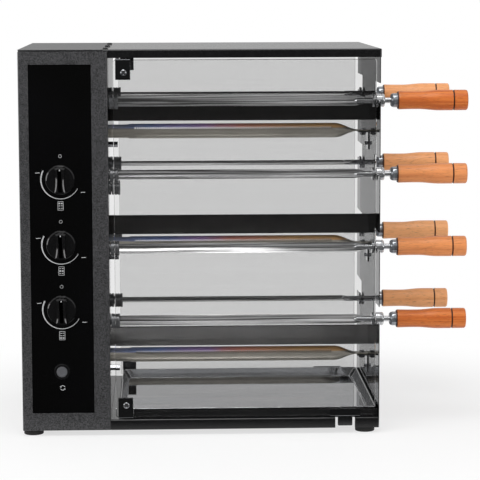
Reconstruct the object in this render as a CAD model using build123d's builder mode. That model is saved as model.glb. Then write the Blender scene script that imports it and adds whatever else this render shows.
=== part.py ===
from build123d import *
import os
from math import acos, atan2, cos, degrees, hypot, radians, sin

# Rotary skewer grill: a gas rotisserie with a control box on the left, a see-through cooking chamber with a
# glass door front and back, and four levels of skewers in front of and behind three tube burners.
# X runs to the right along the skewers, Y to the back, Z up. The origin lies on the bench, under the middle.

os.makedirs("parts", exist_ok=True)

# Case
case_width = 510
case_depth = 340
case_height = 541
foot_height = 8
sheet = 1.2
box_width = 125
skirt_height = 15
lip_height = 12
cover_overlap = 6
shadow_gap = 1.5
flange = 10

# Reach outside the case
knob_reach = 20
inlet_reach = 20

# Skewers and their drive sockets: the levels are spaced evenly between the top and the bottom one
level_count = 4
top_level_drop = 76.5
bottom_level_rise = 146.5
column_inset = 70
blade_width = 14.5
blade_depth = 5
blade_wall = 1.3
blade_gap = 9.5
rod_radius = 4
spool_radius = 9.5
spool_gap = 0.7
spool_inner = 3.4
neck_radius = 5.3
neck_length = 10.1
spool_outer = 4.5
bare_rod = 8.5
ferrule_radius = 10.2
ferrule_length = 10
handle_length = 101
handle_radius = 14.8
socket_reach = 13
socket_radius = 10.7
socket_depth = 8
shaft_radius = 6
blade_turns = {"front": (84, 58, 96, 66), "rear": (4, 3, 8, 12)}

# Burners and shields: the burners are spaced evenly between the top and the bottom one
burner_names = ("top", "middle", "bottom")
burner_top_drop = 126
burner_bottom_rise = 79
burner_radius = 11
burner_wall = 1.2
adapter_radius = 10
tab_width = 20
tab_thickness = 2.4
tab_length = 16.1
taper_length = 34
shield_half_width = 20
shield_rise = 28
shield_gap = 17

# Doors
glass_thickness = 4
glass_setback = 2
glass_hinge_gap = 7.5
glass_free_gap = 4.4
glass_rise = 17.5
glass_top_gap = 2.5
pivot_inset = 14
pivot_radius = 2.5
clip_width = 21
clip_height = 28
clip_wall = 1.5
pull_inset = 50
pull_width = 43
pull_height = 10
tab_pull_width = 21
tab_pull_drop = 13

# Clearances, and how far a cut runs past the face it opens
running = 0.05
free = 0.3
past = 1

# Places worked out from the case
collar_to_handle = spool_outer + bare_rod + ferrule_length
handle_overhang = neck_length - spool_gap - 2 * sheet + collar_to_handle + handle_length
left = -(case_width + handle_overhang) / 2
right = left + case_width
front = -case_depth / 2
back = case_depth / 2
floor = foot_height
top = foot_height + case_height
divider = left + box_width
wall_in = right - 2 * sheet
wall_out = right - sheet
deck = floor + skirt_height
column_y = {"front": front + column_inset, "rear": back - column_inset}
level_pitch = (case_height - top_level_drop - bottom_level_rise) / (level_count - 1)
levels = [top - top_level_drop - level_pitch * i for i in range(level_count)]
burner_pitch = (case_height - burner_top_drop - burner_bottom_rise) / (len(burner_names) - 1)
burner_heights = [top - burner_top_drop - burner_pitch * i for i in range(len(burner_names))]
centre_socket_z = (burner_heights[0] + burner_heights[1]) / 2
neck_start = wall_in - spool_gap
neck_end = neck_start + neck_length
handle_start = neck_end + collar_to_handle
handle_end = handle_start + handle_length


def slab(x, y, z, mode=Mode.ADD):
    """Add a box between two X, two Y and two Z values to the piece being made."""
    with Locations(((x[0] + x[1]) / 2, (y[0] + y[1]) / 2, (z[0] + z[1]) / 2)):
        Box(x[1] - x[0], y[1] - y[0], z[1] - z[0], mode=mode)


def bar_x(x0, x1, y, z, radius, mode=Mode.ADD):
    """Add a round bar along X at the given Y and Z."""
    with Locations(Location(((x0 + x1) / 2, y, z), (0, 90, 0))):
        Cylinder(radius, x1 - x0, mode=mode)


def bar_y(x, y0, y1, z, radius, mode=Mode.ADD):
    """Add a round bar along Y at the given X and Z."""
    with Locations(Location((x, (y0 + y1) / 2, z), (90, 0, 0))):
        Cylinder(radius, y1 - y0, mode=mode)


def bar_z(x, y, z0, z1, radius, mode=Mode.ADD):
    """Add a round bar along Z at the given X and Y."""
    with Locations((x, y, (z0 + z1) / 2)):
        Cylinder(radius, z1 - z0, mode=mode)


def keep(piece, name):
    """Label a finished piece and write it under its name."""
    piece.part.label = name
    export_step(piece.part, f"parts/{name}.step")


def facing(side, distance):
    """Y at a distance inward from the front face, or from the back face."""
    return front + distance if side == "front" else back - distance


def span(side, a, b):
    """Two Y values, in rising order, at two distances inward from a face."""
    return tuple(sorted((facing(side, a), facing(side, b))))


def middle(a, b):
    """The value halfway between two others."""
    return (a + b) / 2


# Screws of the case: pan heads on the lid seam, the back cover and the right wall
screw_radius = 1.5
screw_head = 3.8
screw_head_height = 2.2
screw_length = 7
seam_screw_front, seam_screw_back = 22, 80
back_screw_inset, back_screw_rise, back_screw_drop = 14, 60, 61
side_screw_inset, side_screw_rise = 30, 8
seam_screw_x = divider - cover_overlap / 2
seam_ends = (front + seam_screw_front, back - seam_screw_back)
seam_screw_y = (seam_ends[0], middle(*seam_ends), seam_ends[1])
back_screw_x = (left + back_screw_inset, divider - back_screw_inset)
back_ends = (floor + back_screw_rise, top - back_screw_drop)
back_screw_z = (back_ends[0], middle(*back_ends), back_ends[1])
side_screw_y = (front + side_screw_inset, back - side_screw_inset)
side_screw_z = floor + side_screw_rise

# Base pan: a deck plate folded down into skirts under the chamber, with an upstand behind each door, a boss
# for each door's lower pin and a cut-out for each door's pull
upstand_height = 11
upstand_gap = 1
clip_margin = 0.5
cutout_width = 28
boss_depth = 8
pan_boss_radius = 5
upstand_inset = glass_setback + glass_thickness + clip_wall + free
pivot_x = divider + pivot_inset
pivot_inset_y = glass_setback + glass_thickness / 2
clip_left = pivot_x - pivot_radius - clip_margin
clip_right = clip_left + clip_width
upstand_start = clip_right + upstand_gap
pull_x = right - pull_inset
cutout = (pull_x - cutout_width / 2, pull_x + cutout_width / 2)
with BuildPart() as base_pan:
    slab((left + sheet, divider), (front + sheet, back - sheet), (deck - sheet, deck))
    slab((divider, wall_in), (front, back), (deck - sheet, deck))
    slab((wall_in - sheet, wall_in), (front, back), (floor, deck))
    for side in ("front", "rear"):
        slab((divider, wall_in), span(side, 0, sheet), (floor, deck))
        slab((upstand_start, wall_in), span(side, upstand_inset, upstand_inset + sheet),
             (deck, deck + upstand_height))
        slab(cutout, span(side, -past, sheet), (floor - past, deck), mode=Mode.SUBTRACT)
        slab(cutout, span(side, -past, upstand_inset - free), (deck - 2 * sheet, deck + past),
             mode=Mode.SUBTRACT)
        bar_z(pivot_x, facing(side, pivot_inset_y + sheet), deck - sheet - boss_depth, deck - sheet,
              pan_boss_radius)
        bar_z(pivot_x, facing(side, pivot_inset_y), floor, deck + past, pivot_radius + running,
              mode=Mode.SUBTRACT)
    for y in side_screw_y:
        bar_x(wall_in - 2 * sheet, wall_in, y, side_screw_z, screw_radius, mode=Mode.SUBTRACT)
keep(base_pan, "base_pan")

# Feet: round rubber buffers under the deck, wider where they meet the bench
foot_radius = 14
foot_stem_radius = 10.5
foot_round = 1.5
foot_inset_left, foot_inset_right, foot_inset_y = 14.4, 20, 20
with BuildPart() as feet:
    for x in (left + foot_inset_left, right - foot_inset_right):
        for y in (front + foot_inset_y, back - foot_inset_y):
            bar_z(x, y, 0, foot_height, foot_radius)
            bar_z(x, y, foot_height, deck - sheet, foot_stem_radius)
    fillet(feet.edges().filter_by(GeomType.CIRCLE).group_by(Axis.Z)[0], foot_round)
keep(feet, "feet")

# Control box shell: front and left side folded from one sheet, with a window for the inset panel
panel_inset = 14.5
panel_width = 87.3
panel_rise = 25.5
panel_drop = 21.2
panel_gap = 0.3
panel_left = left + panel_inset
panel_right = panel_left + panel_width
panel_bottom = floor + panel_rise
panel_top = top - panel_drop
shell_top = top - sheet - shadow_gap
with BuildPart() as control_box_shell:
    slab((left, divider), (front, front + sheet), (floor, shell_top))
    slab((left, left + sheet), (front, back), (floor, shell_top))
    slab((divider - 2 * sheet, divider - sheet), (front + sheet, front + sheet + flange), (deck, shell_top))
    slab((panel_left - panel_gap, panel_right + panel_gap), (front - past, front + sheet + past),
         (panel_bottom - panel_gap, panel_top + panel_gap), mode=Mode.SUBTRACT)
keep(control_box_shell, "control_box_shell")

# Inset panel: a glossy plate that fills the window and bears on the back of the sheet with its rim
panel_rim = 4
panel_wall = 1.5
panel_setback = 0.4
knob_inset = 57.6
knob_top_rise = 359
knob_pitch = 92.5
button_inset = 56.7
button_rise = 85.2
stem_radius = 4
stem_play = 1.5
barrel_radius = 9.5
knob_x = left + knob_inset
knob_z = [floor + knob_top_rise - knob_pitch * i for i in range(len(burner_names))]
button_x = left + button_inset
button_z = floor + button_rise
panel_face = front + panel_setback
panel_back = front + sheet + panel_wall
with BuildPart() as control_panel:
    slab((panel_left, panel_right), (panel_face, front + sheet), (panel_bottom, panel_top))
    slab((panel_left - panel_rim, panel_right + panel_rim), (front + sheet, panel_back),
         (panel_bottom - panel_rim, panel_top + panel_rim))
    for z in knob_z:
        bar_y(knob_x, front, panel_back + past, z, stem_radius + stem_play, mode=Mode.SUBTRACT)
    bar_y(button_x, front, panel_back + past, button_z, barrel_radius, mode=Mode.SUBTRACT)
keep(control_panel, "control_panel")

# Lid of the control box: a plate with inner flanges, stepped down where the top cover laps over it
seam_x = divider - cover_overlap
with BuildPart() as control_box_lid:
    slab((left, seam_x - free), (front, back), (top - sheet, top))
    slab((seam_x - flange, divider - 2 * sheet), (front + sheet, back - sheet),
         (top - 2 * sheet, top - sheet))
    slab((left + sheet, seam_x - flange), (front + sheet, front + 2 * sheet), (top - flange, top - sheet))
    slab((left + sheet, left + 2 * sheet), (front + sheet, back - sheet), (top - flange, top - sheet))
    for y in seam_screw_y:
        bar_z(seam_screw_x, y, top - 3 * sheet, top, screw_radius, mode=Mode.SUBTRACT)
keep(control_box_lid, "control_box_lid")

# Back cover of the control box, with the gas inlet and the mains entry low down and cooling slots behind the
# motor
entry_rise = 45
collar_radius = 6
gland_inset = 92
gland_radius = 7
vent_count = 7
vent_pitch = 12
vent_length = 60
vent_height = 4
inlet_x = knob_x
gland_x = left + gland_inset
entry_z = floor + entry_rise
back_cut = (back - sheet - past, back + past)
with BuildPart() as control_box_back:
    slab((left + sheet, divider), (back - sheet, back), (floor, top - sheet))
    slab((left + sheet, left + 2 * sheet), (back - sheet - flange, back - sheet), (deck, top - flange))
    bar_y(inlet_x, *back_cut, entry_z, collar_radius, mode=Mode.SUBTRACT)
    bar_y(gland_x, *back_cut, entry_z, gland_radius, mode=Mode.SUBTRACT)
    with BuildSketch(Plane.XZ.offset(-back_cut[1])):
        with Locations((left + box_width / 2, centre_socket_z)):
            with GridLocations(0, vent_pitch, 1, vent_count):
                SlotOverall(vent_length, vent_height)
    extrude(amount=back_cut[1] - back_cut[0], mode=Mode.SUBTRACT)
    for x in back_screw_x:
        for z in back_screw_z:
            bar_y(x, *back_cut, z, screw_radius, mode=Mode.SUBTRACT)
keep(control_box_back, "control_box_back")

# Top cover: a plate with lips at front, right and back, and a boss at its left end for each door's upper pin
lip_corner = 4
boss_half_width = 8
boss_bottom = top - lip_height + free
with BuildPart() as top_cover:
    slab((seam_x, right), (front, back), (top - sheet, top))
    slab((right - sheet, right), (front, back), (top - lip_height, top))
    for side in ("front", "rear"):
        slab((divider + free, right), span(side, 0, sheet), (top - lip_height, top))
        slab((pivot_x - boss_half_width, pivot_x + boss_half_width), span(side, sheet, flange),
             (boss_bottom, top - sheet))
    fillet(top_cover.edges().filter_by(Axis.Y).group_by(Axis.Z)[0].sort_by(Axis.X)[:2], lip_corner)
    for side in ("front", "rear"):
        bar_z(pivot_x, facing(side, pivot_inset_y), boss_bottom - past, top - 2 * sheet,
              pivot_radius + running, mode=Mode.SUBTRACT)
    for y in seam_screw_y:
        bar_z(seam_screw_x, y, top - 2 * sheet, top + past, screw_radius, mode=Mode.SUBTRACT)
keep(top_cover, "top_cover")

# Divider wall: polished plate between the control box and the chamber, with holes for the bushes, the burners
# and the stud under each burner
bush_radius = 8.5
bolt_radius = 2.5
bolt_drop = 19.5
stud_radius = 3
shaft_places = [(column_y[side], z) for side in ("front", "rear") for z in levels] + [(0, centre_socket_z)]
divider_cut = (divider - sheet - past, divider + past)
with BuildPart() as divider_wall:
    slab((divider - sheet, divider), (front + sheet, back - sheet), (deck, top - sheet))
    for y, z in shaft_places:
        bar_x(*divider_cut, y, z, bush_radius, mode=Mode.SUBTRACT)
    for z in burner_heights:
        bar_x(*divider_cut, 0, z, adapter_radius + free, mode=Mode.SUBTRACT)
        bar_x(*divider_cut, 0, z - bolt_drop, stud_radius, mode=Mode.SUBTRACT)
keep(divider_wall, "divider_wall")

# Right wall: polished plate with an open notch for each skewer, ending in a half-round cradle
notch_rise = 28
cradle_lip = 2.5
cradle_radius = neck_radius + free
wall_cut = (wall_in - past, wall_out + past)
with BuildPart() as right_wall:
    slab((wall_in, wall_out), (front, back), (floor, top - sheet))
    for side in ("front", "rear"):
        slab(wall_cut, span(side, -past, sheet), (top - lip_height, top), mode=Mode.SUBTRACT)
    with BuildSketch(Plane.YZ.offset(wall_cut[0])):
        for side, outward in (("front", -1), ("rear", 1)):
            y = column_y[side]
            edge = y + outward * (column_inset + past)
            for z in levels:
                with Locations((y, z)):
                    Circle(cradle_radius)
                with Locations((y, z + notch_rise / 2)):
                    Rectangle(2 * cradle_radius, notch_rise)
                with Locations((middle(y, edge), z + middle(notch_rise, cradle_lip))):
                    Rectangle(abs(edge - y), notch_rise - cradle_lip)
    extrude(amount=wall_cut[1] - wall_cut[0], mode=Mode.SUBTRACT)
    for y in side_screw_y:
        bar_x(*wall_cut, y, side_screw_z, screw_radius, mode=Mode.SUBTRACT)
    for z in burner_heights:
        bar_x(*wall_cut, 0, z - bolt_drop, bolt_radius, mode=Mode.SUBTRACT)
keep(right_wall, "right_wall")

# Case screws: one group of equal pan heads
with BuildPart() as case_screws:
    for y in seam_screw_y:
        bar_z(seam_screw_x, y, top - screw_length, top, screw_radius)
        bar_z(seam_screw_x, y, top, top + screw_head_height, screw_head)
    for x in back_screw_x:
        for z in back_screw_z:
            bar_y(x, back - screw_length, back, z, screw_radius)
            bar_y(x, back, back + screw_head_height, z, screw_head)
    for y in side_screw_y:
        bar_x(wall_out - screw_length, wall_out, y, side_screw_z, screw_radius)
        bar_x(wall_out, wall_out + screw_head_height, y, side_screw_z, screw_head)
keep(case_screws, "case_screws")

# Burners: three equal tubes with slit ports front and back, each on a narrower adapter from the box and
# pressed flat at its right end
adapter_tail = 42
adapter_neck = 25
shoulder = 3
port_start = 35
port_end_gap = 6
port_pitch = 4.85
port_width = 1.1
port_length = 5
port_angle = 28
adapter_inlet = divider - adapter_tail
adapter_step = divider + adapter_neck
tab_start = wall_in - tab_length
tube_end = tab_start - taper_length
bolt_x = middle(tab_start, wall_in)
first_port = divider + port_start
port_count = int((tube_end - port_end_gap - first_port) / port_pitch) + 1
with BuildPart() as burner:
    bar_x(adapter_inlet, adapter_step, 0, 0, adapter_radius)
    with BuildSketch(Plane.YZ.offset(adapter_step)):
        Circle(adapter_radius)
    with BuildSketch(Plane.YZ.offset(adapter_step + shoulder)):
        Circle(burner_radius)
    loft()
    bar_x(adapter_step + shoulder, tube_end, 0, 0, burner_radius)
    bar_x(adapter_inlet, adapter_step, 0, 0, adapter_radius - burner_wall, mode=Mode.SUBTRACT)
    bar_x(adapter_step, tube_end, 0, 0, burner_radius - burner_wall, mode=Mode.SUBTRACT)
    with BuildSketch(Plane.YZ.offset(tube_end)):
        Circle(burner_radius)
    with BuildSketch(Plane.YZ.offset(tab_start)):
        Ellipse(tab_width / 2, tab_thickness / 2)
    loft()
    slab((tab_start, wall_in), (-tab_width / 2, tab_width / 2), (-tab_thickness / 2, tab_thickness / 2))
    bar_z(bolt_x, 0, -tab_thickness, tab_thickness, bolt_radius, mode=Mode.SUBTRACT)
    for turn in (port_angle, 180 - port_angle):
        port_y, port_z = burner_radius * cos(radians(turn)), burner_radius * sin(radians(turn))
        with Locations([Location((first_port + port_pitch * i, port_y, port_z), (turn - 90, 0, 0))
                        for i in range(port_count)]):
            Box(port_width, port_length, 4 * burner_wall, mode=Mode.SUBTRACT)
with BuildPart() as burners:
    with Locations([(0, 0, z) for z in burner_heights]):
        add(burner.part)
keep(burners, "burners")

# Burner angles: three folded angles on the right wall, each under the flat end of a burner
angle_wall = 1.5
angle_width = 24
angle_drop = 27
with BuildPart() as burner_angles:
    for z in burner_heights:
        shelf = z - tab_thickness / 2
        slab((tab_start, wall_in), (-angle_width / 2, angle_width / 2), (shelf - angle_wall, shelf))
        slab((wall_in - angle_wall, wall_in), (-angle_width / 2, angle_width / 2),
             (shelf - angle_drop, shelf - angle_wall))
        bar_z(bolt_x, 0, shelf - angle_wall - past, shelf + past, bolt_radius, mode=Mode.SUBTRACT)
        bar_x(wall_in - angle_wall - past, wall_in + past, 0, z - bolt_drop, bolt_radius, mode=Mode.SUBTRACT)
keep(burner_angles, "burner_angles")

# Burner bolts: through each tab and its angle with a nut below, through the wall, and a hex stud through the
# divider
nut_across = 8
nut_height = 4
bolt_tail = 1
bolt_head = 2
stud_reach = 10
stud_tail = 6
with BuildPart() as burner_bolts:
    for z in burner_heights:
        tab_top = z + tab_thickness / 2
        nut_bottom = z - tab_thickness / 2 - angle_wall - nut_height
        bar_z(bolt_x, 0, nut_bottom - bolt_tail, tab_top, bolt_radius)
        bar_z(bolt_x, 0, tab_top, tab_top + bolt_head, nut_across / 2)
        with BuildSketch(Plane.XY.offset(nut_bottom)):
            with Locations((bolt_x, 0)):
                RegularPolygon(nut_across / 2, 6, major_radius=False)
        extrude(amount=nut_height)
        bar_x(wall_in - angle_wall - nut_height, wall_out, 0, z - bolt_drop, bolt_radius)
        bar_x(wall_out, wall_out + bolt_head, 0, z - bolt_drop, nut_across / 2)
        with BuildSketch(Plane.YZ.offset(divider)):
            with Locations((0, z - bolt_drop)):
                RegularPolygon(nut_across / 2, 6, major_radius=False)
        extrude(amount=stud_reach)
        bar_x(divider - stud_tail, divider, 0, z - bolt_drop, stud_radius)
keep(burner_bolts, "burner_bolts")

# Drip shields: a steep steel roof over each burner, from wall to wall
shield_slope = hypot(shield_half_width, shield_rise)
shield_depth = sheet * shield_slope / shield_half_width
with BuildPart() as drip_shields:
    with BuildSketch(Plane.YZ.offset(divider)):
        for z in burner_heights:
            eave, ridge = z + shield_gap, z + shield_gap + shield_rise
            with BuildLine():
                Polyline((-shield_half_width, eave), (0, ridge), (shield_half_width, eave),
                         (shield_half_width, eave - shield_depth), (0, ridge - shield_depth),
                         (-shield_half_width, eave - shield_depth), close=True)
            make_face()
    extrude(amount=wall_in - divider)
keep(drip_shields, "drip_shields")

# Bearing plate: a channel inside the box that carries the far end of each shaft
bearing_gap = 35
plate_wall = 1.5
plate_margin = 40
plate_end = 36.5
adapter_play = 2
plate_x = divider - bearing_gap
plate_bottom, plate_top = levels[-1] - plate_end, levels[0] + plate_end
plate_y = (front + plate_margin, back - plate_margin)
plate_cut = (plate_x - past, plate_x + plate_wall + past)
with BuildPart() as bearing_plate:
    slab((plate_x, plate_x + plate_wall), plate_y, (plate_bottom, plate_top))
    for z in (plate_bottom, plate_top - plate_wall):
        slab((plate_x, divider - sheet), plate_y, (z, z + plate_wall))
    for y, z in shaft_places:
        bar_x(*plate_cut, y, z, bush_radius, mode=Mode.SUBTRACT)
    for z in burner_heights[:2]:
        bar_x(*plate_cut, 0, z, adapter_radius + adapter_play, mode=Mode.SUBTRACT)
keep(bearing_plate, "bearing_plate")

# Hub bushes: a flanged bush in the divider and in the plate for each shaft
bush_flange = 10.5
bush_flange_wall = 1.5
bush_length = 7
with BuildPart() as hub_bushes:
    for y, z in shaft_places:
        bar_x(divider - bush_length, divider, y, z, bush_radius)
        bar_x(divider - sheet - bush_flange_wall, divider - sheet, y, z, bush_flange)
        bar_x(plate_x, plate_x + bush_length, y, z, bush_radius)
        bar_x(plate_x + plate_wall, plate_x + plate_wall + bush_flange_wall, y, z, bush_flange)
        bar_x(plate_x - past, divider + past, y, z, shaft_radius + running, mode=Mode.SUBTRACT)
keep(hub_bushes, "hub_bushes")

# Drive sockets and skewers: a turned head with a slot in its face, its shaft and sprocket, and a folded blade
# on a rod with a spool, a ferrule and a handle
sprocket_tip = 19
sprocket_teeth = 12
sprocket_inset = 14
sprocket_width = 3
sprocket_hub_radius = 9
sprocket_hub_length = 4
tooth_gap_radius = 3.4
shaft_tail = 2
socket_gap = 0.5
socket_neck = 1.5
socket_bevel = 0.8
collar_start = 4
groove_start, groove_end = 8, 9.2
sprocket_x = plate_x + sprocket_inset
sprocket_end = sprocket_x + sprocket_width


def add_sprocket(y, z):
    """Add a toothed sprocket disc with its hub round the shaft at the given place."""
    with BuildSketch(Plane.YZ.offset(sprocket_x)) as toothed:
        with Locations((y, z)):
            Circle(sprocket_tip)
            with PolarLocations(sprocket_tip, sprocket_teeth):
                Circle(tooth_gap_radius, mode=Mode.SUBTRACT)
    extrude(toothed.sketch, amount=sprocket_width)
    bar_x(sprocket_end, sprocket_end + sprocket_hub_length, y, z, sprocket_hub_radius)


def add_socket(y, z, shaft_start):
    """Add the turned socket in the chamber and its shaft back through the bushes."""
    start, face = divider + socket_gap, divider + socket_reach
    collar, groove = divider + collar_start, (divider + groove_start, divider + groove_end)
    rim, neck, bevel = y + socket_radius, y + socket_radius - socket_neck, y + socket_radius - socket_bevel
    with BuildSketch(Plane.XY.offset(z)) as turned:
        with BuildLine():
            Polyline((start, y), (start, neck), (collar, neck), (collar, rim), (groove[0], rim),
                     (groove[0], bevel), (groove[1], bevel), (groove[1], rim), (face - socket_bevel, rim),
                     (face, bevel), (face, y), close=True)
        make_face()
    revolve(turned.sketch, axis=Axis((divider, y, z), (1, 0, 0)))
    bar_x(shaft_start, start, y, z, shaft_radius)


def cut_slot(y, z, turn):
    """Cut the slot for a skewer's flat tip into a socket's face, turned about the shaft."""
    slot_centre = divider + socket_reach + (past - socket_depth) / 2
    with Locations(Location((slot_centre, y, z), (turn, 0, 0))):
        Box(socket_depth + past, blade_width + 2 * free, blade_depth + 4 * free, mode=Mode.SUBTRACT)


blade_ridge = 0.3
rod_overlap = 12
ferrule_flare = 3
waist_depth = 2
waist_length = 30
swell_length = 62
swell_depth = 0.1
end_bevel = 2
ring_inset = 20.5
ring_half_width = 1
ring_depth = 1.2
blade_start = divider + socket_reach - socket_depth
blade_end = neck_start - spool_inner - blade_gap
ferrule_start = handle_start - ferrule_length
ring_x = handle_end - ring_inset
for side, turns in blade_turns.items():
    y = column_y[side]
    for number, (z, turn) in enumerate(zip(levels, turns), start=1):
        with BuildPart() as drive_socket:
            add_socket(y, z, plate_x - shaft_tail)
            add_sprocket(y, z)
            cut_slot(y, z, turn)
        keep(drive_socket, f"drive_socket_{side}_{number}")

        across = (0, cos(radians(turn)), sin(radians(turn)))
        half, depth = blade_width / 2, blade_depth / 2
        with BuildPart() as skewer:
            with BuildSketch(Plane((blade_start, y, z), x_dir=across, z_dir=(1, 0, 0))):
                with BuildLine():
                    Polyline((-half, depth), (0, -depth), (half, depth), (half, depth - blade_wall),
                             (0, -depth - blade_ridge), (-half, depth - blade_wall), close=True)
                make_face()
            extrude(amount=blade_end - blade_start)
            bar_x(blade_end - rod_overlap, handle_start - ferrule_length / 2, y, z, rod_radius)
            bar_x(neck_start - spool_inner, neck_start, y, z, spool_radius)
            bar_x(neck_start, neck_end, y, z, neck_radius)
            bar_x(neck_end, neck_end + spool_outer, y, z, spool_radius)
            with BuildSketch(Plane.YZ.offset(ferrule_start)):
                with Locations((y, z)):
                    Circle(ferrule_radius - ferrule_flare)
            with BuildSketch(Plane.YZ.offset(ferrule_start + ferrule_flare)):
                with Locations((y, z)):
                    Circle(ferrule_radius)
            loft()
            bar_x(ferrule_start + ferrule_flare, handle_start, y, z, ferrule_radius)
        keep(skewer, f"skewer_{side}_{number}")

        rim, waist = y + handle_radius, y + handle_radius - waist_depth
        with BuildPart() as handle:
            with BuildSketch(Plane.XY.offset(z)):
                with BuildLine():
                    Line((handle_start, y), (handle_start, waist))
                    Spline((handle_start, waist), (handle_start + waist_length, waist),
                           (handle_start + swell_length, rim - swell_depth), (ring_x - ring_half_width, rim))
                    Polyline((ring_x - ring_half_width, rim), (ring_x, rim - ring_depth),
                             (ring_x + ring_half_width, rim), (handle_end - end_bevel, rim),
                             (handle_end, rim - end_bevel), (handle_end, y), (handle_start, y))
                make_face()
            revolve(axis=Axis((handle_start, y, z), (1, 0, 0)))
        keep(handle, f"handle_{side}_{number}")

# Centre socket: an empty socket for a large spit, on the motor's own shaft
motor_depth = 32
shaft_engagement = 8
motor_x = plate_x - motor_depth
with BuildPart() as centre_socket:
    add_socket(0, centre_socket_z, motor_x + shaft_engagement)
    add_sprocket(0, centre_socket_z)
    cut_slot(0, centre_socket_z, 0)
keep(centre_socket, "centre_socket")

# Gear motor: gearbox behind the bearing plate, motor can and a lip that screws to the plate
gearbox_half = 32
gearbox_round = 6
can_radius = 25
can_length = 40
lip_wall = 3
lip_ear = 12
gearbox_end = plate_x - lip_wall
with BuildPart() as gear_motor:
    slab((motor_x, gearbox_end), (-gearbox_half, gearbox_half),
         (centre_socket_z - gearbox_half, centre_socket_z + gearbox_half))
    fillet(gear_motor.edges().filter_by(Axis.X), gearbox_round)
    slab((gearbox_end, plate_x), (-gearbox_half - lip_ear, gearbox_half + lip_ear),
         (centre_socket_z - lip_ear, centre_socket_z + lip_ear))
    bar_x(motor_x - can_length, motor_x, 0, centre_socket_z, can_radius)
    bar_x(motor_x + shaft_engagement - 2 * past, plate_x + past, 0, centre_socket_z, shaft_radius + running,
          mode=Mode.SUBTRACT)
keep(gear_motor, "gear_motor")

# Drive chain: one endless loop outside the eight socket sprockets that dips in over the motor's sprocket
chain_height = 5
chain_width = 6
chain_radius = sprocket_tip + free + chain_height / 2


def add_chain_line(grow):
    """Outline of the chain loop, moved outward by the given amount from its middle line."""
    around, over = chain_radius + grow, chain_radius - grow
    rear, low, high = column_y["rear"], levels[-1], levels[0]
    rise = centre_socket_z - low
    leave = degrees(atan2(rise, -rear) + acos(2 * chain_radius / hypot(rear, rise)))
    across, along = cos(radians(leave)), sin(radians(leave))
    CenterArc((rear, low), around, 0, leave - 360)
    Line((rear + around * across, low + around * along), (-over * across, centre_socket_z - over * along))
    CenterArc((0, centre_socket_z), over, leave - 180, 540 - 2 * leave)
    Line((over * across, centre_socket_z - over * along), (-rear - around * across, low + around * along))
    CenterArc((-rear, low), around, 180 - leave, leave - 360)
    Line((-rear - around, low), (-rear - around, high))
    CenterArc((-rear, high), around, 180, -90)
    Line((-rear, high + around), (rear, high + around))
    CenterArc((rear, high), around, 90, -90)
    Line((rear + around, high), (rear + around, low))


with BuildPart() as drive_chain:
    with BuildSketch(Plane.YZ.offset(middle(sprocket_x, sprocket_end) - chain_width / 2)):
        with BuildLine():
            add_chain_line(chain_height / 2)
        make_face()
        with BuildLine():
            add_chain_line(-chain_height / 2)
        make_face(mode=Mode.SUBTRACT)
    extrude(amount=chain_width)
keep(drive_chain, "drive_chain")

# Gas valves: behind the knobs, each with a seat for the knob's stem and an outlet into the manifold
valve_setback = 12
valve_depth = 28
valve_half = 10
valve_outlet_radius = 4.5
manifold_radius = 6
manifold_rise = 20
stem_seat = 12
valve_start = front + valve_setback
valve_end = valve_start + valve_depth
manifold_y = valve_end + manifold_radius
manifold_top = knob_z[0] + manifold_rise
with BuildPart() as gas_valves:
    for z in knob_z:
        slab((knob_x - valve_half, knob_x + valve_half), (valve_start, valve_end),
             (z - valve_half, z + valve_half))
        bar_y(knob_x, valve_end, manifold_y, z, valve_outlet_radius)
        bar_y(knob_x, valve_start - past, valve_start + stem_seat, z, stem_radius + running,
              mode=Mode.SUBTRACT)
    bar_z(knob_x, manifold_y, entry_z, manifold_top, manifold_radius, mode=Mode.SUBTRACT)
keep(gas_valves, "gas_valves")

# Gas manifold: one tube down past the valves and back to the collar, hexagon and hose nipple at the cover
manifold_bend = 24
collar_tail = 10
collar_grip = 4
collar_head = 3
hexagon_half = 8
hexagon_wall = 4
nipple_radius = 5
nipple_bore = 3
nipple_bevel = 0.8
with BuildPart() as gas_manifold:
    with BuildLine() as manifold_path:
        FilletPolyline((knob_x, manifold_y, manifold_top), (knob_x, manifold_y, entry_z),
                       (knob_x, back - collar_tail, entry_z), radius=manifold_bend)
    with BuildSketch(Plane((knob_x, manifold_y, manifold_top), z_dir=(0, 0, -1))):
        Circle(manifold_radius)
    sweep()
    bar_y(inlet_x, back - collar_tail, back + inlet_reach, entry_z, nipple_radius)
    bar_y(inlet_x, back - sheet - collar_grip, back + collar_head, entry_z, collar_radius)
    with BuildSketch(Plane.XZ.offset(-back)):
        with Locations((inlet_x, entry_z)):
            RegularPolygon(hexagon_half, 6, major_radius=False)
    extrude(amount=-hexagon_wall)
    bar_y(inlet_x, back - collar_tail + past, back + inlet_reach + past, entry_z, nipple_bore,
          mode=Mode.SUBTRACT)
    nipple_end = gas_manifold.edges().filter_by(GeomType.CIRCLE).group_by(Axis.Y)[-1]
    chamfer(nipple_end.sort_by(SortBy.RADIUS)[-1], nipple_bevel)
keep(gas_manifold, "gas_manifold")

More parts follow.
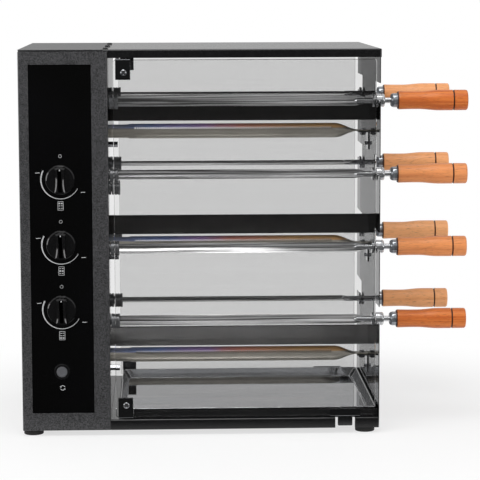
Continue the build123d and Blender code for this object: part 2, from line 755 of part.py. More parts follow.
# Burner pipes: from each valve's side, back along the box while they climb or drop, to the burner's injector
pipe_radius = 3
pipe_bend = 8
pipe_inset = 30
climb_start = 48
climb_end = 118
injector_length = 6
pipe_x = left + pipe_inset
outlet_y = middle(valve_start, valve_end)
injector_x = adapter_inlet - injector_length
with BuildPart() as burner_pipes:
    for valve_z, burner_z in zip(knob_z, burner_heights):
        with BuildLine() as pipe_path:
            FilletPolyline((knob_x - valve_half, outlet_y, valve_z), (pipe_x, outlet_y, valve_z),
                           (pipe_x, valve_start + climb_start, valve_z),
                           (pipe_x, valve_start + climb_end, burner_z), (pipe_x, 0, burner_z),
                           (injector_x, 0, burner_z), radius=pipe_bend)
        with BuildSketch(Plane((knob_x - valve_half, outlet_y, valve_z), z_dir=(-1, 0, 0))):
            Circle(pipe_radius)
        sweep(path=pipe_path.wires()[0])
        bar_x(injector_x, adapter_inlet, 0, burner_z, adapter_radius)
keep(burner_pipes, "burner_pipes")

# Mains entry gland in the back cover
gland_bore = 3.5
gland_reach = 14
gland_tail = 8
gland_half = 9
gland_wall = 6
with BuildPart() as cable_gland:
    bar_y(gland_x, back - gland_tail, back + gland_reach, entry_z, gland_radius)
    with BuildSketch(Plane.XZ.offset(-back)):
        with Locations((gland_x, entry_z)):
            RegularPolygon(gland_half, 6, major_radius=False)
    extrude(amount=-gland_wall)
    bar_y(gland_x, back - gland_tail - past, back + gland_reach + past, entry_z, gland_bore,
          mode=Mode.SUBTRACT)
keep(cable_gland, "cable_gland")

# Push button of the motor: a bezel with its barrel through the panel, and the cap that travels in it
bezel_radius = 11.5
bezel_proud = 2.4
bezel_round = 1
barrel_length = 34
cap_radius = 7.6
cap_travel = 2.5
cap_proud = 1.2
cap_recess = 12
bezel_front = front - bezel_proud
recess_end = bezel_front + cap_recess
with BuildPart() as switch_body:
    bar_y(button_x, bezel_front, panel_face, button_z, bezel_radius)
    fillet(switch_body.edges().filter_by(GeomType.CIRCLE).group_by(Axis.Y)[0], bezel_round)
    bar_y(button_x, panel_face, front + barrel_length, button_z, barrel_radius)
    bar_y(button_x, bezel_front - past, recess_end, button_z, cap_radius + free, mode=Mode.SUBTRACT)
keep(switch_body, "switch_body")

with BuildPart() as button_cap:
    bar_y(button_x, bezel_front - cap_proud, recess_end - cap_travel - 2 * free, button_z, cap_radius)
    fillet(button_cap.edges().filter_by(GeomType.CIRCLE).group_by(Axis.Y)[0], bezel_round)
keep(button_cap, "button_cap")

# Knobs: a round skirt with an upright waisted grip, on a steel stem that turns in the valve
knob_radius = 21
knob_skirt = 5
knob_gap = 0.6
knob_bevel = 1
grip_half_length = 19.5
grip_half_width = 8.5
grip_waist = 5.2
grip_hollow = grip_half_width - grip_waist
grip_scoop = (grip_half_length ** 2 + grip_hollow ** 2) / (2 * grip_hollow)
knob_back = panel_face - knob_gap
skirt_face = knob_back - knob_skirt
for name, z in zip(burner_names, knob_z):
    with BuildPart() as knob:
        bar_y(knob_x, skirt_face, knob_back, z, knob_radius)
        chamfer(knob.edges().group_by(Axis.Y)[0], knob_bevel)
        with BuildSketch(Plane.XZ.offset(-skirt_face)):
            with Locations((knob_x, z)):
                Circle(grip_half_length)
                with Locations((grip_waist + grip_scoop, 0), (-grip_waist - grip_scoop, 0)):
                    Circle(grip_scoop, mode=Mode.SUBTRACT)
        extrude(amount=skirt_face - front + knob_reach)
        chamfer(knob.faces().sort_by(Axis.Y)[0].edges(), knob_bevel)
        bar_y(knob_x, knob_back, valve_start + stem_seat - past, z, stem_radius)
    keep(knob, f"knob_{name}")

# Doors: a toughened pane in two hinge clips with pivot pins, and a pull clipped on its lower edge
glass_corner = 4
clip_screw_radius = 4.6
clip_screw_height = 2.4
clip_screw_inset = 10
clip_screw_shift = 1
pin_depth = 6
pane_x = (divider + glass_hinge_gap, wall_in - glass_free_gap)
pane_bottom = floor + glass_rise
pane_top = top - lip_height - glass_top_gap
glass_in = glass_setback + glass_thickness
clip_x = (clip_left, clip_right)
screw_x = middle(*clip_x) + clip_screw_shift
pull = (pull_x - pull_width / 2, pull_x + pull_width / 2)
pull_tab = (pull_x - tab_pull_width / 2, pull_x + tab_pull_width / 2)
for side in ("front", "rear"):
    with BuildPart() as door_glass:
        slab(pane_x, span(side, glass_setback, glass_in), (pane_bottom, pane_top))
        fillet(door_glass.edges().filter_by(Axis.Y), glass_corner)
    keep(door_glass, f"{side}_door_glass")

    outer = span(side, glass_setback - clip_wall, glass_setback)
    inner = span(side, glass_in, glass_in + clip_wall)
    across = span(side, glass_setback - clip_wall, glass_in + clip_wall)
    with BuildPart() as hinge_clips:
        for edge_z, out, pin_end in ((pane_top, 1, top - 3 * sheet), (pane_bottom, -1, deck - pin_depth)):
            legs = sorted((edge_z, edge_z - out * clip_height))
            slab(clip_x, outer, legs)
            slab(clip_x, inner, legs)
            slab(clip_x, across, sorted((edge_z, edge_z + out * clip_wall)))
            pin = sorted((edge_z + out * clip_wall, pin_end))
            bar_z(pivot_x, facing(side, pivot_inset_y), *pin, pivot_radius)
            head = span(side, glass_setback - clip_wall - clip_screw_height, glass_setback - clip_wall)
            bar_y(screw_x, *head, edge_z - out * (clip_height - clip_screw_inset), clip_screw_radius)
    keep(hinge_clips, f"{side}_hinge_clips")

    with BuildPart() as door_pull:
        legs = (pane_bottom - clip_wall, pane_bottom + pull_height)
        slab(pull, outer, legs)
        slab(pull, inner, legs)
        slab(pull, across, (pane_bottom - clip_wall, pane_bottom))
        slab(pull_tab, outer, (pane_bottom - clip_wall - tab_pull_drop, pane_bottom))
    keep(door_pull, f"{side}_door_pull")

# Grease tray: a shallow pan with sloped ends, on the deck between the two upstands
tray_hinge_gap = 11.5
tray_wall_gap = 1.6
tray_inset = 15
tray_rise = 28.5
tray_slope = 9
tray_draft = 1
tray_wall = 0.9
tray_corner = 3
tray_inner_corner = 2
tray_bottom = deck + free
tray_rim = floor + tray_rise
tray_x = (divider + tray_hinge_gap, wall_in - tray_wall_gap)
tray_length, tray_depth = tray_x[1] - tray_x[0], case_depth - 2 * tray_inset


def add_tray(wall, bottom, corner, mode=Mode.ADD):
    """Add the tray's outer or inner form: a draft from its floor up to its rim, a wall's width smaller."""
    narrow, short = 2 * (tray_slope + wall), 2 * (tray_draft + wall)
    with BuildSketch(Plane.XY.offset(bottom)) as floor_outline:
        with Locations((middle(*tray_x), 0)):
            RectangleRounded(tray_length - narrow, tray_depth - short, corner)
    with BuildSketch(Plane.XY.offset(tray_rim)) as rim_outline:
        with Locations((middle(*tray_x), 0)):
            RectangleRounded(tray_length - 2 * wall, tray_depth - 2 * wall, corner)
    loft([floor_outline.sketch, rim_outline.sketch], ruled=True, mode=mode)


with BuildPart() as drip_tray:
    add_tray(0, tray_bottom, tray_corner)
    add_tray(tray_wall, tray_bottom + tray_wall, tray_inner_corner, mode=Mode.SUBTRACT)
keep(drip_tray, "drip_tray")
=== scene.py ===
from math import cos, radians, sin

import bmesh
import bpy
import numpy as np
from mathutils import Matrix, Vector


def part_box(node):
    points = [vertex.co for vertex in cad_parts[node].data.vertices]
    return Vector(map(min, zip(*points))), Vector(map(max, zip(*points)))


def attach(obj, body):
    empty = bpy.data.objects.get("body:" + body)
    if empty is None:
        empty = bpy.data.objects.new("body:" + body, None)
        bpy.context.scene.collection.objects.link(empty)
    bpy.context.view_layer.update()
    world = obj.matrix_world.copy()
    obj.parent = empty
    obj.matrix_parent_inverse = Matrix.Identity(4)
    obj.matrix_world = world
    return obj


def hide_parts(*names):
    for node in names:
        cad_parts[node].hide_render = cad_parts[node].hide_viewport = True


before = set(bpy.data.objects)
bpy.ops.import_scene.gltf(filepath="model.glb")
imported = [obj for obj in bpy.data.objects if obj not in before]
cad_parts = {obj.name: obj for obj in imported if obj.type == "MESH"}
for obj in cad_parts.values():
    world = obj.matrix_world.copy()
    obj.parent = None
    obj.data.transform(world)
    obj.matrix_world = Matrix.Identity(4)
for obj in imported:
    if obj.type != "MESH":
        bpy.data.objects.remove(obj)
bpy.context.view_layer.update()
mm = 0.001

# Base pan: a deck plate of black coated steel, folded down at front and back into skirts, each with a cut-out
# for a door's pull. A low upstand behind each door keeps the fat tray in place.


def linear(colour):
    """A linear RGBA colour from an sRGB hex value."""
    channels = [int(colour[i:i + 2], 16) / 255 for i in (1, 3, 5)]
    return [c / 12.92 if c <= 0.04045 else ((c + 0.055) / 1.055) ** 2.4 for c in channels] + [1.0]


def wire(node, **links):
    """Link a node's sockets, named or as _number, to outputs or nodes' first outputs, or give them values."""
    for socket, value in links.items():
        target = node.inputs[int(socket[1:])] if socket[0] == "_" else node.inputs[socket.replace("_", " ")]
        if isinstance(value, bpy.types.Node):
            value = value.outputs[0]
        if isinstance(value, bpy.types.NodeSocket):
            node.id_data.links.new(value, target)
        else:
            target.default_value = value


def add_node(tree, kind, settings=(), **links):
    """Add a shader node with its settings, a ramp's stops as (position, hex colour), and wire its sockets."""
    node = tree.nodes.new("ShaderNode" + kind)
    settings = dict(settings)
    stops = settings.pop("stops", ())
    for key, value in settings.items():
        setattr(node, key, value)
    for _ in stops[2:]:
        node.color_ramp.elements.new(0.5)
    for number, (position, colour) in enumerate(stops):
        element = node.color_ramp.elements[number]
        element.position, element.color = position, linear(colour)
    wire(node, **links)
    return node


def new_material(name, **sockets):
    """A material with one Principled shader, its tree, its shader and its Object coordinates."""
    material = bpy.data.materials.new(name)
    material.use_nodes = True
    tree = material.node_tree
    shader = tree.nodes["Principled BSDF"]
    wire(shader, **sockets)
    return material, tree, shader, add_node(tree, "TexCoord").outputs["Object"]


def mottled(name, marks, shades, spread=(0.3, 0.7), sheen=(), relief=(), detail=2.0, **sockets):
    """A finish whose colour drifts between two hex shades with a noise, whose marks have one size, or one
    along each of X, Y and Z. Its roughness may drift between two values of sheen, and its relief is the
    strength and the depth of a bump. Real grain, plating and tool marks are finer than a millimetre: they are
    given marks as coarse as they need to show."""
    material, tree, shader, place = new_material(name, **sockets)
    scaled = add_node(tree, "Mapping", Vector=place, Scale=1 / np.broadcast_to(marks, 3))
    drift = add_node(tree, "TexNoise", Vector=scaled, Scale=1.0, Detail=detail)
    stops = tuple(zip(spread, shades))
    wire(shader, Base_Color=add_node(tree, "ValToRGB", {"stops": stops}, Fac=drift))
    if sheen:
        wire(shader, Roughness=add_node(tree, "MapRange", Value=drift, From_Min=0.3, From_Max=0.7,
                                        To_Min=sheen[0], To_Max=sheen[1]))
    if relief:
        wire(shader, Normal=add_node(tree, "Bump", Strength=relief[0], Distance=relief[1], Height=drift))
    return material


# Polyester powder coat, smooth: satin black, faintly rippled, with a clear sheen at low angles.
satin_coat = mottled("satin_powder_coat", 4 * mm, ("#0d0d0e", "#141415"), sheen=(0.07, 0.15),
                     relief=(0.08, 0.1 * mm), IOR=1.5)

# Polyester powder coat, structured: black with grains of about 0.7 mm. Its grey specks and greyish cast are
# painted sheen: a lighter colour on the grains that stands in for the light they catch.
coated_steel, tree, shader, place = new_material("textured_powder_coat", IOR=1.5)
grain_size = 0.7 * mm
grain = add_node(tree, "TexNoise", Vector=place, Scale=0.5 / grain_size, Detail=3.0)
pits = add_node(tree, "TexVoronoi", Vector=place, Scale=0.7 / grain_size).outputs["Distance"]
rise = add_node(tree, "Math", {"operation": "ADD"}, _0=grain, _1=pits)
# Painted sheen: the grain ramp rises to a grey that stands in for light caught by the grains.
wire(shader, Base_Color=add_node(tree, "ValToRGB", {"stops": ((0.36, "#19191a"), (0.66, "#4d4d4f"))},
                                 Fac=grain),
     Roughness=add_node(tree, "MapRange", Value=grain, From_Min=0.3, From_Max=0.7, To_Min=0.28, To_Max=0.45),
     Normal=add_node(tree, "Bump", Strength=0.5, Distance=0.12 * mm, Height=rise))


def skin(rings, ends=(True, True)):
    """Points and faces of a skin over rings of points: ring i joins ring i + 1 point by point, all round,
    and each end ring is closed by one flat face."""
    rings = np.asarray(rings, float)
    count, around = rings.shape[:2]
    index = np.arange(count * around).reshape(count, around)
    nxt = np.roll(index, -1, 1)
    faces = np.stack([index[:-1], nxt[:-1], nxt[1:], index[1:]], -1).reshape(-1, 4).tolist()
    faces += [cap.tolist() for cap, closed in zip((index[0, ::-1], index[-1]), ends) if closed]
    return rings.reshape(-1, 3), faces


def sheet_grid(points, keep=None):
    """Points and faces of an open sheet over a grid of points, with the cells left out where keep is False."""
    rows, columns = points.shape[:2]
    index = np.arange(rows * columns).reshape(rows, columns)
    cells = np.stack([index[:-1, :-1], index[1:, :-1], index[1:, 1:], index[:-1, 1:]], -1)
    return points.reshape(-1, 3), (cells.reshape(-1, 4) if keep is None else cells[keep]).tolist()


def join(*shells):
    """Several shells of points and faces as one."""
    starts = np.cumsum([0] + [len(points) for points, _ in shells])
    faces = [[i + start for i in face] for (_, fs), start in zip(shells, starts) for face in fs]
    return np.concatenate([points for points, _ in shells]), faces


def slab(x, y, z):
    """Points and faces of a block between two X, two Y and two Z values."""
    outline = np.array([[x[0], y[0]], [x[1], y[0]], [x[1], y[1]], [x[0], y[1]]])
    return skin([np.column_stack([outline, np.full(4, height)]) for height in z])


def bent(corners, radius, steps=6):
    """A path through 2-D corners, each inner corner rounded by an arc: the arc's centre lies on the
    bisector at radius / sin(half the corner), and its points turn evenly about that centre."""
    corners = np.asarray(corners, float)
    path = [corners[:1]]
    for before, corner, after in zip(corners, corners[1:], corners[2:]):
        a, b = before - corner, after - corner
        a, b = a / np.hypot(*a), b / np.hypot(*b)
        half = np.arccos(np.clip(a @ b, -1, 1)) / 2
        centre = corner + (a + b) / np.hypot(*(a + b)) * radius / np.sin(half)
        start = corner + a * radius / np.tan(half) - centre
        turn = np.linspace(0, (2 * half - np.pi) * np.sign(np.cross(a, b)), steps + 1)
        path.append(centre + np.column_stack([start[0] * np.cos(turn) - start[1] * np.sin(turn),
                                              start[0] * np.sin(turn) + start[1] * np.cos(turn)]))
    return np.concatenate(path + [corners[-1:]])


def folded(path, axis, stations):
    """Grid of points of a sheet folded along a 2-D path and running along an axis through the stations."""
    path, stations = np.asarray(path), np.asarray(stations)
    points = np.empty((len(stations), len(path), 3))
    points[:, :, axis] = stations[:, None]
    points[:, :, [i for i in range(3) if i != axis]] = path[None]
    return points


def add_piece(name, shell, material, body, stands_for="", wall=0, bevel=0, cut=(), crease=32):
    """Make one mesh of points and faces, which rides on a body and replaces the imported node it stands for.
    A wall grows inward from an open sheet, or outward where it is negative, cutting shells are taken away,
    edges are bevelled, and faces shade round except at edges sharper than crease degrees."""
    def linked(title, points, faces):
        mesh = bpy.data.meshes.new(title)
        mesh.from_pydata(points.tolist(), [], faces)
        work = bmesh.new()
        work.from_mesh(mesh)
        bmesh.ops.remove_doubles(work, verts=work.verts, dist=1e-7)
        bmesh.ops.recalc_face_normals(work, faces=work.faces)
        work.to_mesh(mesh)
        work.free()
        thing = bpy.data.objects.new(title, mesh)
        bpy.context.scene.collection.objects.link(thing)
        return thing

    piece = linked(name, *shell)
    cutters = [linked(f"cutter_{number}", *cutter) for number, cutter in enumerate(cut)]
    if wall:
        solid = piece.modifiers.new("wall", "SOLIDIFY")
        solid.thickness, solid.offset, solid.use_even_offset = abs(wall), -np.sign(wall), True
    for cutter in cutters:
        hole = piece.modifiers.new("hole", "BOOLEAN")
        hole.operation, hole.object, hole.solver = "DIFFERENCE", cutter, "EXACT"
    if bevel:
        edge = piece.modifiers.new("edge", "BEVEL")
        edge.width, edge.segments, edge.limit_method, edge.angle_limit = bevel, 2, "ANGLE", radians(40)
    if piece.modifiers:
        bpy.context.view_layer.update()
        done = bpy.data.meshes.new_from_object(piece.evaluated_get(bpy.context.evaluated_depsgraph_get()))
        piece.modifiers.clear()
        piece.data = done
        for cutter in cutters:
            bpy.data.objects.remove(cutter)
    piece.data.polygons.foreach_set("use_smooth", np.ones(len(piece.data.polygons), bool))
    piece.data.set_sharp_from_angle(angle=radians(crease))
    if len(piece.data.polygons) > 6:
        piece.modifiers.new("flat_faces", "WEIGHTED_NORMAL").keep_sharp = True
    piece.data.materials.clear()
    piece.data.materials.append(material)
    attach(piece, body)
    if stands_for:
        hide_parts(stands_for)
    return piece


sheet, bend, edge_break = 1.2 * mm, 2 * mm, 0.25 * mm
pan_low, pan_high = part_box("base_pan")
left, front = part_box("control_box_shell")[0][:2]
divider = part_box("control_box_shell")[1].x
floor, back, wall_in = pan_low.z, -front, pan_high.x
deck = floor + 15 * mm
pivot_x = divider + 14 * mm
boss_x, boss_depth = (pivot_x - 8 * mm, pivot_x + 8 * mm), 8 * mm
pull_low, pull_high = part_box("front_door_pull")
pull_x = (pull_low.x + pull_high.x) / 2
cutout_half, cutout_depth = 14 * mm, 7.5 * mm
upstand = back - 7.8 * mm
upstand_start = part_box("front_hinge_clips")[1].x + 1 * mm
pan_path = bent([(front, floor), (front, deck), (back, deck), (back, floor)], bend)
cutout_ends = [(front + cutout_depth, deck), (back - cutout_depth, deck)]
pan_path = np.insert(pan_path, len(pan_path) // 2, cutout_ends, axis=0)
pan_x = [divider, pull_x - cutout_half, pull_x + cutout_half, wall_in]
pan_cells = np.ones((3, len(pan_path) - 1), bool)
pan_cells[1, np.abs(pan_path[:-1, 0] + pan_path[1:, 0]) / 2 > back - cutout_depth] = False
add_piece("base_pan_fold", sheet_grid(folded(pan_path, 0, pan_x), pan_cells), satin_coat, "root",
          "base_pan", sheet, edge_break)
pan_plates = [slab((left + sheet, divider), (front + sheet, back - sheet), (deck - sheet, deck)),
              slab((wall_in - sheet, wall_in), (front + bend, back - bend), (floor, deck - sheet))]
for side in (-1, 1):
    pan_plates += [slab((upstand_start, wall_in), (side * upstand, side * (upstand - sheet)),
                        (deck, pan_high.z)),
                   slab(boss_x, (side * (back - sheet), side * (back - 9 * mm)),
                        (deck - sheet - boss_depth, deck - sheet))]
add_piece("base_pan_plates", join(*pan_plates), satin_coat, "root", "base_pan", 0, edge_break)

# Feet: four moulded buffers of black rubber that grip the bench, wider at the sole, pressed on studs under
# the deck.


def turned(profile, centre, axis=0, around=64, ends=(True, True)):
    """A skin turned about an axis: each ring is a circle of the profile's radius at its place along
    the axis, measured from the centre."""
    profile = np.asarray(profile, float)
    angle = np.linspace(0, 2 * np.pi, around, endpoint=False)
    rings = np.empty((len(profile), around, 3))
    rings[:, :, axis] = profile[:, :1]
    rings[:, :, [i for i in range(3) if i != axis]] = profile[:, 1:, None] * np.column_stack(
        [np.cos(angle), np.sin(angle)])
    return skin(rings + np.asarray(centre, float), ends)


# Natural rubber, moulded: matt, nearly black, with a dusty bloom.
rubber = mottled("moulded_rubber", 8 * mm, ("#121212", "#1f1e1d"), (0.3, 0.8), detail=4.0, Roughness=0.8,
                 IOR=1.52)

feet_low, feet_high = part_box("feet")
sole, neck = 14 * mm, 10.5 * mm
foot_profile = bent([(0, neck - 0.5 * mm), (0, sole), (floor, sole), (floor, neck), (feet_high.z, neck)],
                    1.4 * mm, 4)
feet = [turned(foot_profile, (x, y, 0), axis=2) for x in (feet_low.x + sole, feet_high.x - sole)
        for y in (feet_low.y + sole, feet_high.y - sole)]
add_piece("rubber_feet", join(*feet), rubber, "root", "feet")

# Control box shell: front and left side of the box, folded from one coated sheet, with a return flange at
# the chamber and a window for the panel.
shell_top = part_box("control_box_shell")[1].z
panel_low, panel_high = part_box("control_panel")
panel_rim, panel_gap, flange = 4 * mm, 0.3 * mm, 12 * mm
window_x = (panel_low.x + panel_rim - panel_gap, panel_high.x - panel_rim + panel_gap)
window_z = (panel_low.z + panel_rim - panel_gap, panel_high.z - panel_rim + panel_gap)
shell_path = bent([(left, back - 0.2 * mm), (left, front), (divider, front), (divider, front + flange)], bend)
corner = len(shell_path) // 2
shell_path = np.insert(shell_path, corner, [(window_x[0], front), (window_x[1], front)], axis=0)
shell_cells = np.ones((3, len(shell_path) - 1), bool)
shell_cells[1, corner] = False
shell_sheet = sheet_grid(folded(shell_path, 2, [floor, *window_z, shell_top]), shell_cells)
add_piece("control_box_casing", shell_sheet, coated_steel, "root", "control_box_shell", sheet,
          edge_break)

# Inset panel: a gloss black plate behind the window, flush with the sheet, with its dial marks and signs
# pad-printed in pale ink.


def rounded_rectangle(x, z, radius, steps=6):
    """Points round a rectangle between two X and two Z values, each corner a quarter circle."""
    turn = np.linspace(0, np.pi / 2, steps + 1)
    corners = [(x[1] - radius, z[1] - radius), (x[0] + radius, z[1] - radius),
               (x[0] + radius, z[0] + radius), (x[1] - radius, z[0] + radius)]
    return np.concatenate([np.column_stack([cx + radius * np.cos(turn + quarter * np.pi / 2),
                                            cz + radius * np.sin(turn + quarter * np.pi / 2)])
                           for quarter, (cx, cz) in enumerate(corners)])


def plate(x, z, y, radius, edge):
    """A plate facing Y with rounded corners, whose rims are broken by a chamfer of the edge width."""
    rings = []
    for depth, inset in ((y[0], edge), (y[0] + edge, 0), (y[1] - edge, 0), (y[1], edge)):
        outline = rounded_rectangle((x[0] + inset, x[1] - inset), (z[0] + inset, z[1] - inset),
                                    radius - inset / 2)
        rings.append(np.insert(outline, 1, depth, axis=1))
    return skin(rings)


def along(start, *steps):
    """Profile points from a start, in metres, by steps of place and radius, in millimetres."""
    return [(start + place * mm, radius * mm) for place, radius in steps]


def y_turned(profile, centre, around=64, ends=(True, True)):
    """A turned skin about the Y axis through an X, Z centre, with its places given as Y values."""
    return turned(profile, (centre[0], 0, centre[1]), axis=1, around=around, ends=ends)


# Acrylic-fronted steel: deep black, mirror smooth, with the faint ripple of a wide glossy sheet.
gloss_black = mottled("gloss_black_acrylic", 110 * mm, ("#010101", "#030304"), relief=(0.06, 1 * mm),
                      Roughness=0.06, IOR=1.4)

panel_face = front + 0.4 * mm
bezel_low, bezel_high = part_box("switch_body")
button = ((bezel_low.x + bezel_high.x) / 2, (bezel_low.z + bezel_high.z) / 2)
knob_levels = ("top", "middle", "bottom")
knob_boxes = [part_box(f"knob_{level}") for level in knob_levels]
dials = [((low.x + high.x) / 2, (low.z + high.z) / 2) for low, high in knob_boxes]
panel_holes = [turned(along(0, (-5, radius), (9, radius)), (x, front, z), axis=1)
               for (x, z), radius in ((button, 9.5), *((dial, 5.5) for dial in dials))]
panel_plate = plate((window_x[0] + panel_gap, window_x[1] - panel_gap),
                    (window_z[0] + panel_gap, window_z[1] - panel_gap),
                    (panel_face, front + sheet + 1.5 * mm), 0.8 * mm, 0.2 * mm)
add_piece("control_panel_face", panel_plate, gloss_black, "root", "control_panel",
          cut=panel_holes)
rim_plate = plate((panel_low.x, panel_high.x), (panel_low.z, panel_high.z),
                  (front + sheet + 0.02 * mm, panel_high.y), 3 * mm, 0.2 * mm)
add_piece("control_panel_rim", rim_plate, gloss_black, "root", "control_panel",
          cut=panel_holes)

# Pad-printing ink: thin, pale grey and matt.
print_ink = mottled("pad_print_ink", 1.1 * mm, ("#a9aaab", "#c4c5c6"), Roughness=0.55)
ink_height = 0.05 * mm


def ribbon(points, widths):
    """A flat printed line through X, Z points: at each point, half its width to either side, square to
    the direction from the point before to the point after."""
    points, half = np.asarray(points, float), np.broadcast_to(np.asarray(widths, float), len(points)) / 2
    ahead = np.gradient(points, axis=0)
    ahead /= np.hypot(ahead[:, 0], ahead[:, 1])[:, None]
    side = np.column_stack([-ahead[:, 1], ahead[:, 0]]) * half[:, None]
    loops = [np.insert(points + sign * side, 1, y, axis=1)
             for sign, y in ((1, panel_face - ink_height), (-1, panel_face - ink_height), (-1, panel_face),
                             (1, panel_face))]
    return skin(np.stack(loops, axis=1))


def arc(centre, radius, start, end, steps=40):
    """X, Z points on a circle between two angles in degrees, counted from +X towards +Z."""
    angle = np.radians(np.linspace(start, end, steps))
    return np.column_stack([centre[0] + radius * np.cos(angle), centre[1] + radius * np.sin(angle)])


def bar(x, z, width, height):
    """A level printed bar, centred on an X, Z point."""
    return ribbon([(x - width / 2, z), (x, z), (x + width / 2, z)], height)


line = 0.6 * mm
dial_radius, off_ring, sign_drop = 27.2 * mm, 33 * mm, 37 * mm
prints = []
for number, (x, z) in enumerate(dials):
    prints += [ribbon(arc((x, z), dial_radius, 152, 332, 60), np.linspace(1.9, 0.7, 60) * mm),
               ribbon([(x - 35 * mm, z + 9.4 * mm), (x - 28.8 * mm, z + 9.9 * mm)], 0.8 * mm),
               ribbon([(x + 28.6 * mm, z - 18 * mm), (x + 34.7 * mm, z - 18 * mm)], 0.8 * mm),
               ribbon(arc((x, z + off_ring), 2.1 * mm, 0, 360, 24), 0.5 * mm)]
    sign_z = z - sign_drop
    for row in range(3):
        thick = (2.0 if row == number else 0.9) * mm
        prints += [bar(x + column * 1.7 * mm, sign_z + (1 - row) * 3.4 * mm, 2.4 * mm, thick)
                   for column in (-1, 1)]
    for side in (-1, 1):
        post = x + side * 3.8 * mm
        prints += [ribbon([(post, sign_z - 6 * mm), (post, sign_z + 6 * mm)], line),
                   bar(x, sign_z + side * 6 * mm, 8.2 * mm, line)]
turn_sign = (button[0] + 0.6 * mm, button[1] - 23.5 * mm)
for start in (20, 200):
    prints += [ribbon(arc(turn_sign, 3.2 * mm, start, start + 125, 16), 0.8 * mm),
               ribbon(arc(turn_sign, 3.2 * mm, start + 125, start + 150, 2), [2.8 * mm, 0.2 * mm])]
add_piece("dial_marks", join(*prints), print_ink, "root")

# Motor button: a black moulded bezel screwed through the panel, and in it a satin grey cap that starts the
# motor and springs back when pressed.

# Black ABS, moulded: satin with a fine spark-eroded grain.
black_abs = mottled("moulded_black_abs", 0.7 * mm, ("#080809", "#0e0e0f"), sheen=(0.03, 0.07),
                    relief=(0.15, 0.05 * mm), IOR=1.54)

# Grey ABS, satin: lighter, so that the cap stands out in its bezel.
grey_abs = mottled("moulded_grey_abs", 0.8 * mm, ("#4c4d50", "#5d5e61"), Roughness=0.3, IOR=1.54)

cap_low, cap_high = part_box("button_cap")
cap, rim = (cap_high.x - cap_low.x) / 2 / mm, (bezel_high.x - bezel_low.x) / 2 / mm
bore = cap + 0.3
bezel_profile = (along(bezel_high.y, (0, bore), (0, 9.5)) + along(panel_face, (0, 9.5), (0, rim))
                 + along(bezel_low.y, (0.9, rim), (0.25, rim - 0.4), (0, rim - 1.1), (0, bore + 0.9),
                         (0.3, bore + 0.3), (0.9, bore), (12, bore), (12.4, 4))
                 + along(bezel_high.y, (0, 4), (0, bore)))
bezel = y_turned(bezel_profile, button, ends=(False, False))
add_piece("button_bezel", bezel, black_abs, "root", "switch_body")
cap_profile = along(cap_high.y, (0, cap)) + along(cap_low.y, (1.1, cap), (0.35, cap - 0.3), (0, cap - 1.1),
                                                  (0.1, cap - 2.2), (0.55, cap - 4.5), (0.7, 0.6))
add_piece("motor_button_cap", y_turned(cap_profile, button), grey_abs, "motor_button",
          "button_cap")

# Gas knobs: round black skirts with an upright waisted grip, each moulded on a steel stem that turns its valve.
# The grip's plan is two sides, each a parabola from the waist out to the half width, joined by two arcs.
reach, half_width, waist = 19.4 * mm, 8.2 * mm, 6.3 * mm
corner_z = np.sqrt(reach ** 2 - half_width ** 2)
climb = np.linspace(-1, 1, 25)
right_side = np.column_stack([waist + (half_width - waist) * climb ** 2, corner_z * climb])
over = np.linspace(np.arctan2(corner_z, half_width), np.arctan2(corner_z, -half_width), 15)[1:-1]
cap_arc = reach * np.column_stack([np.cos(over), np.sin(over)])
outline = np.concatenate([right_side, cap_arc, -right_side, -cap_arc])
seat = front - 0.2 * mm
skirt = seat - 5 * mm
for (x, z), (low, high), level in zip(dials, knob_boxes, knob_levels):
    wide = (high.x - low.x) / 2 / mm
    skirt_profile = along(seat, (0, 17.5), (0, wide - 0.6), (-0.6, wide), (-3.4, wide - 0.25),
                          (-4.5, wide - 0.9), (-5, wide - 2.2), (-5, 3))
    grip_rings = []
    for share, inset in ((0.0, 0.0), (0.5, 0.2), (0.91, 0.5), (0.93, 0.7), (0.99, 2.6), (1.0, 3.2)):
        ring = outline * (1, 1 - inset * mm / reach) - np.sign(outline) * (inset * mm, 0) + (x, z)
        grip_rings.append(np.insert(ring, 1, skirt + (low.y - skirt) * share, axis=1))
    stem_profile = along(seat, (0, 4)) + along(high.y, (-0.4, 4), (0, 3.6))
    knob = join(y_turned(skirt_profile, (x, z), 96), skin(grip_rings), y_turned(stem_profile, (x, z), 32))
    body = f"gas_knob_{level}"
    add_piece(body, knob, black_abs, body, f"knob_{level}", crease=18)
    pointer = ribbon([(x, z + 13.8 * mm), (x, z + 15.8 * mm)], 1.4 * mm)
    pointer[0][:, 1] += low.y - panel_face + 0.02 * mm
    add_piece(f"{body}_pointer", pointer, print_ink, body)

# Control box lid: a coated plate with folded inner flanges, which rests on the casing and is screwed down
# along its seam with the top cover.
lid_low, lid_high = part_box("control_box_lid")
top = lid_high.z
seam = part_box("top_cover")[0].x
lid_edge = 0.35 * mm
lid_rings = []
for height, inset in ((top - sheet, lid_edge), (top - sheet + lid_edge, 0), (top - lid_edge, 0),
                      (top, lid_edge)):
    outline = rounded_rectangle((left + inset, seam - 0.3 * mm - inset), (front + inset, back - inset),
                                1.5 * mm)
    lid_rings.append(np.insert(outline, 2, height, axis=1))
add_piece("control_box_lid_plate", skin(lid_rings), coated_steel, "root", "control_box_lid")
under, ledge = top - sheet, seam - 10 * mm
lid_flanges = [slab((ledge, lid_high.x), (front + sheet, back - sheet), (under - sheet, under)),
               slab((left + sheet, ledge), (front + sheet, front + 2 * sheet), (lid_low.z, under)),
               slab((left + sheet, left + 2 * sheet), (front + sheet, back - sheet), (lid_low.z, under))]
add_piece("control_box_lid_flanges", join(*lid_flanges), coated_steel, "root", "control_box_lid",
          bevel=edge_break)

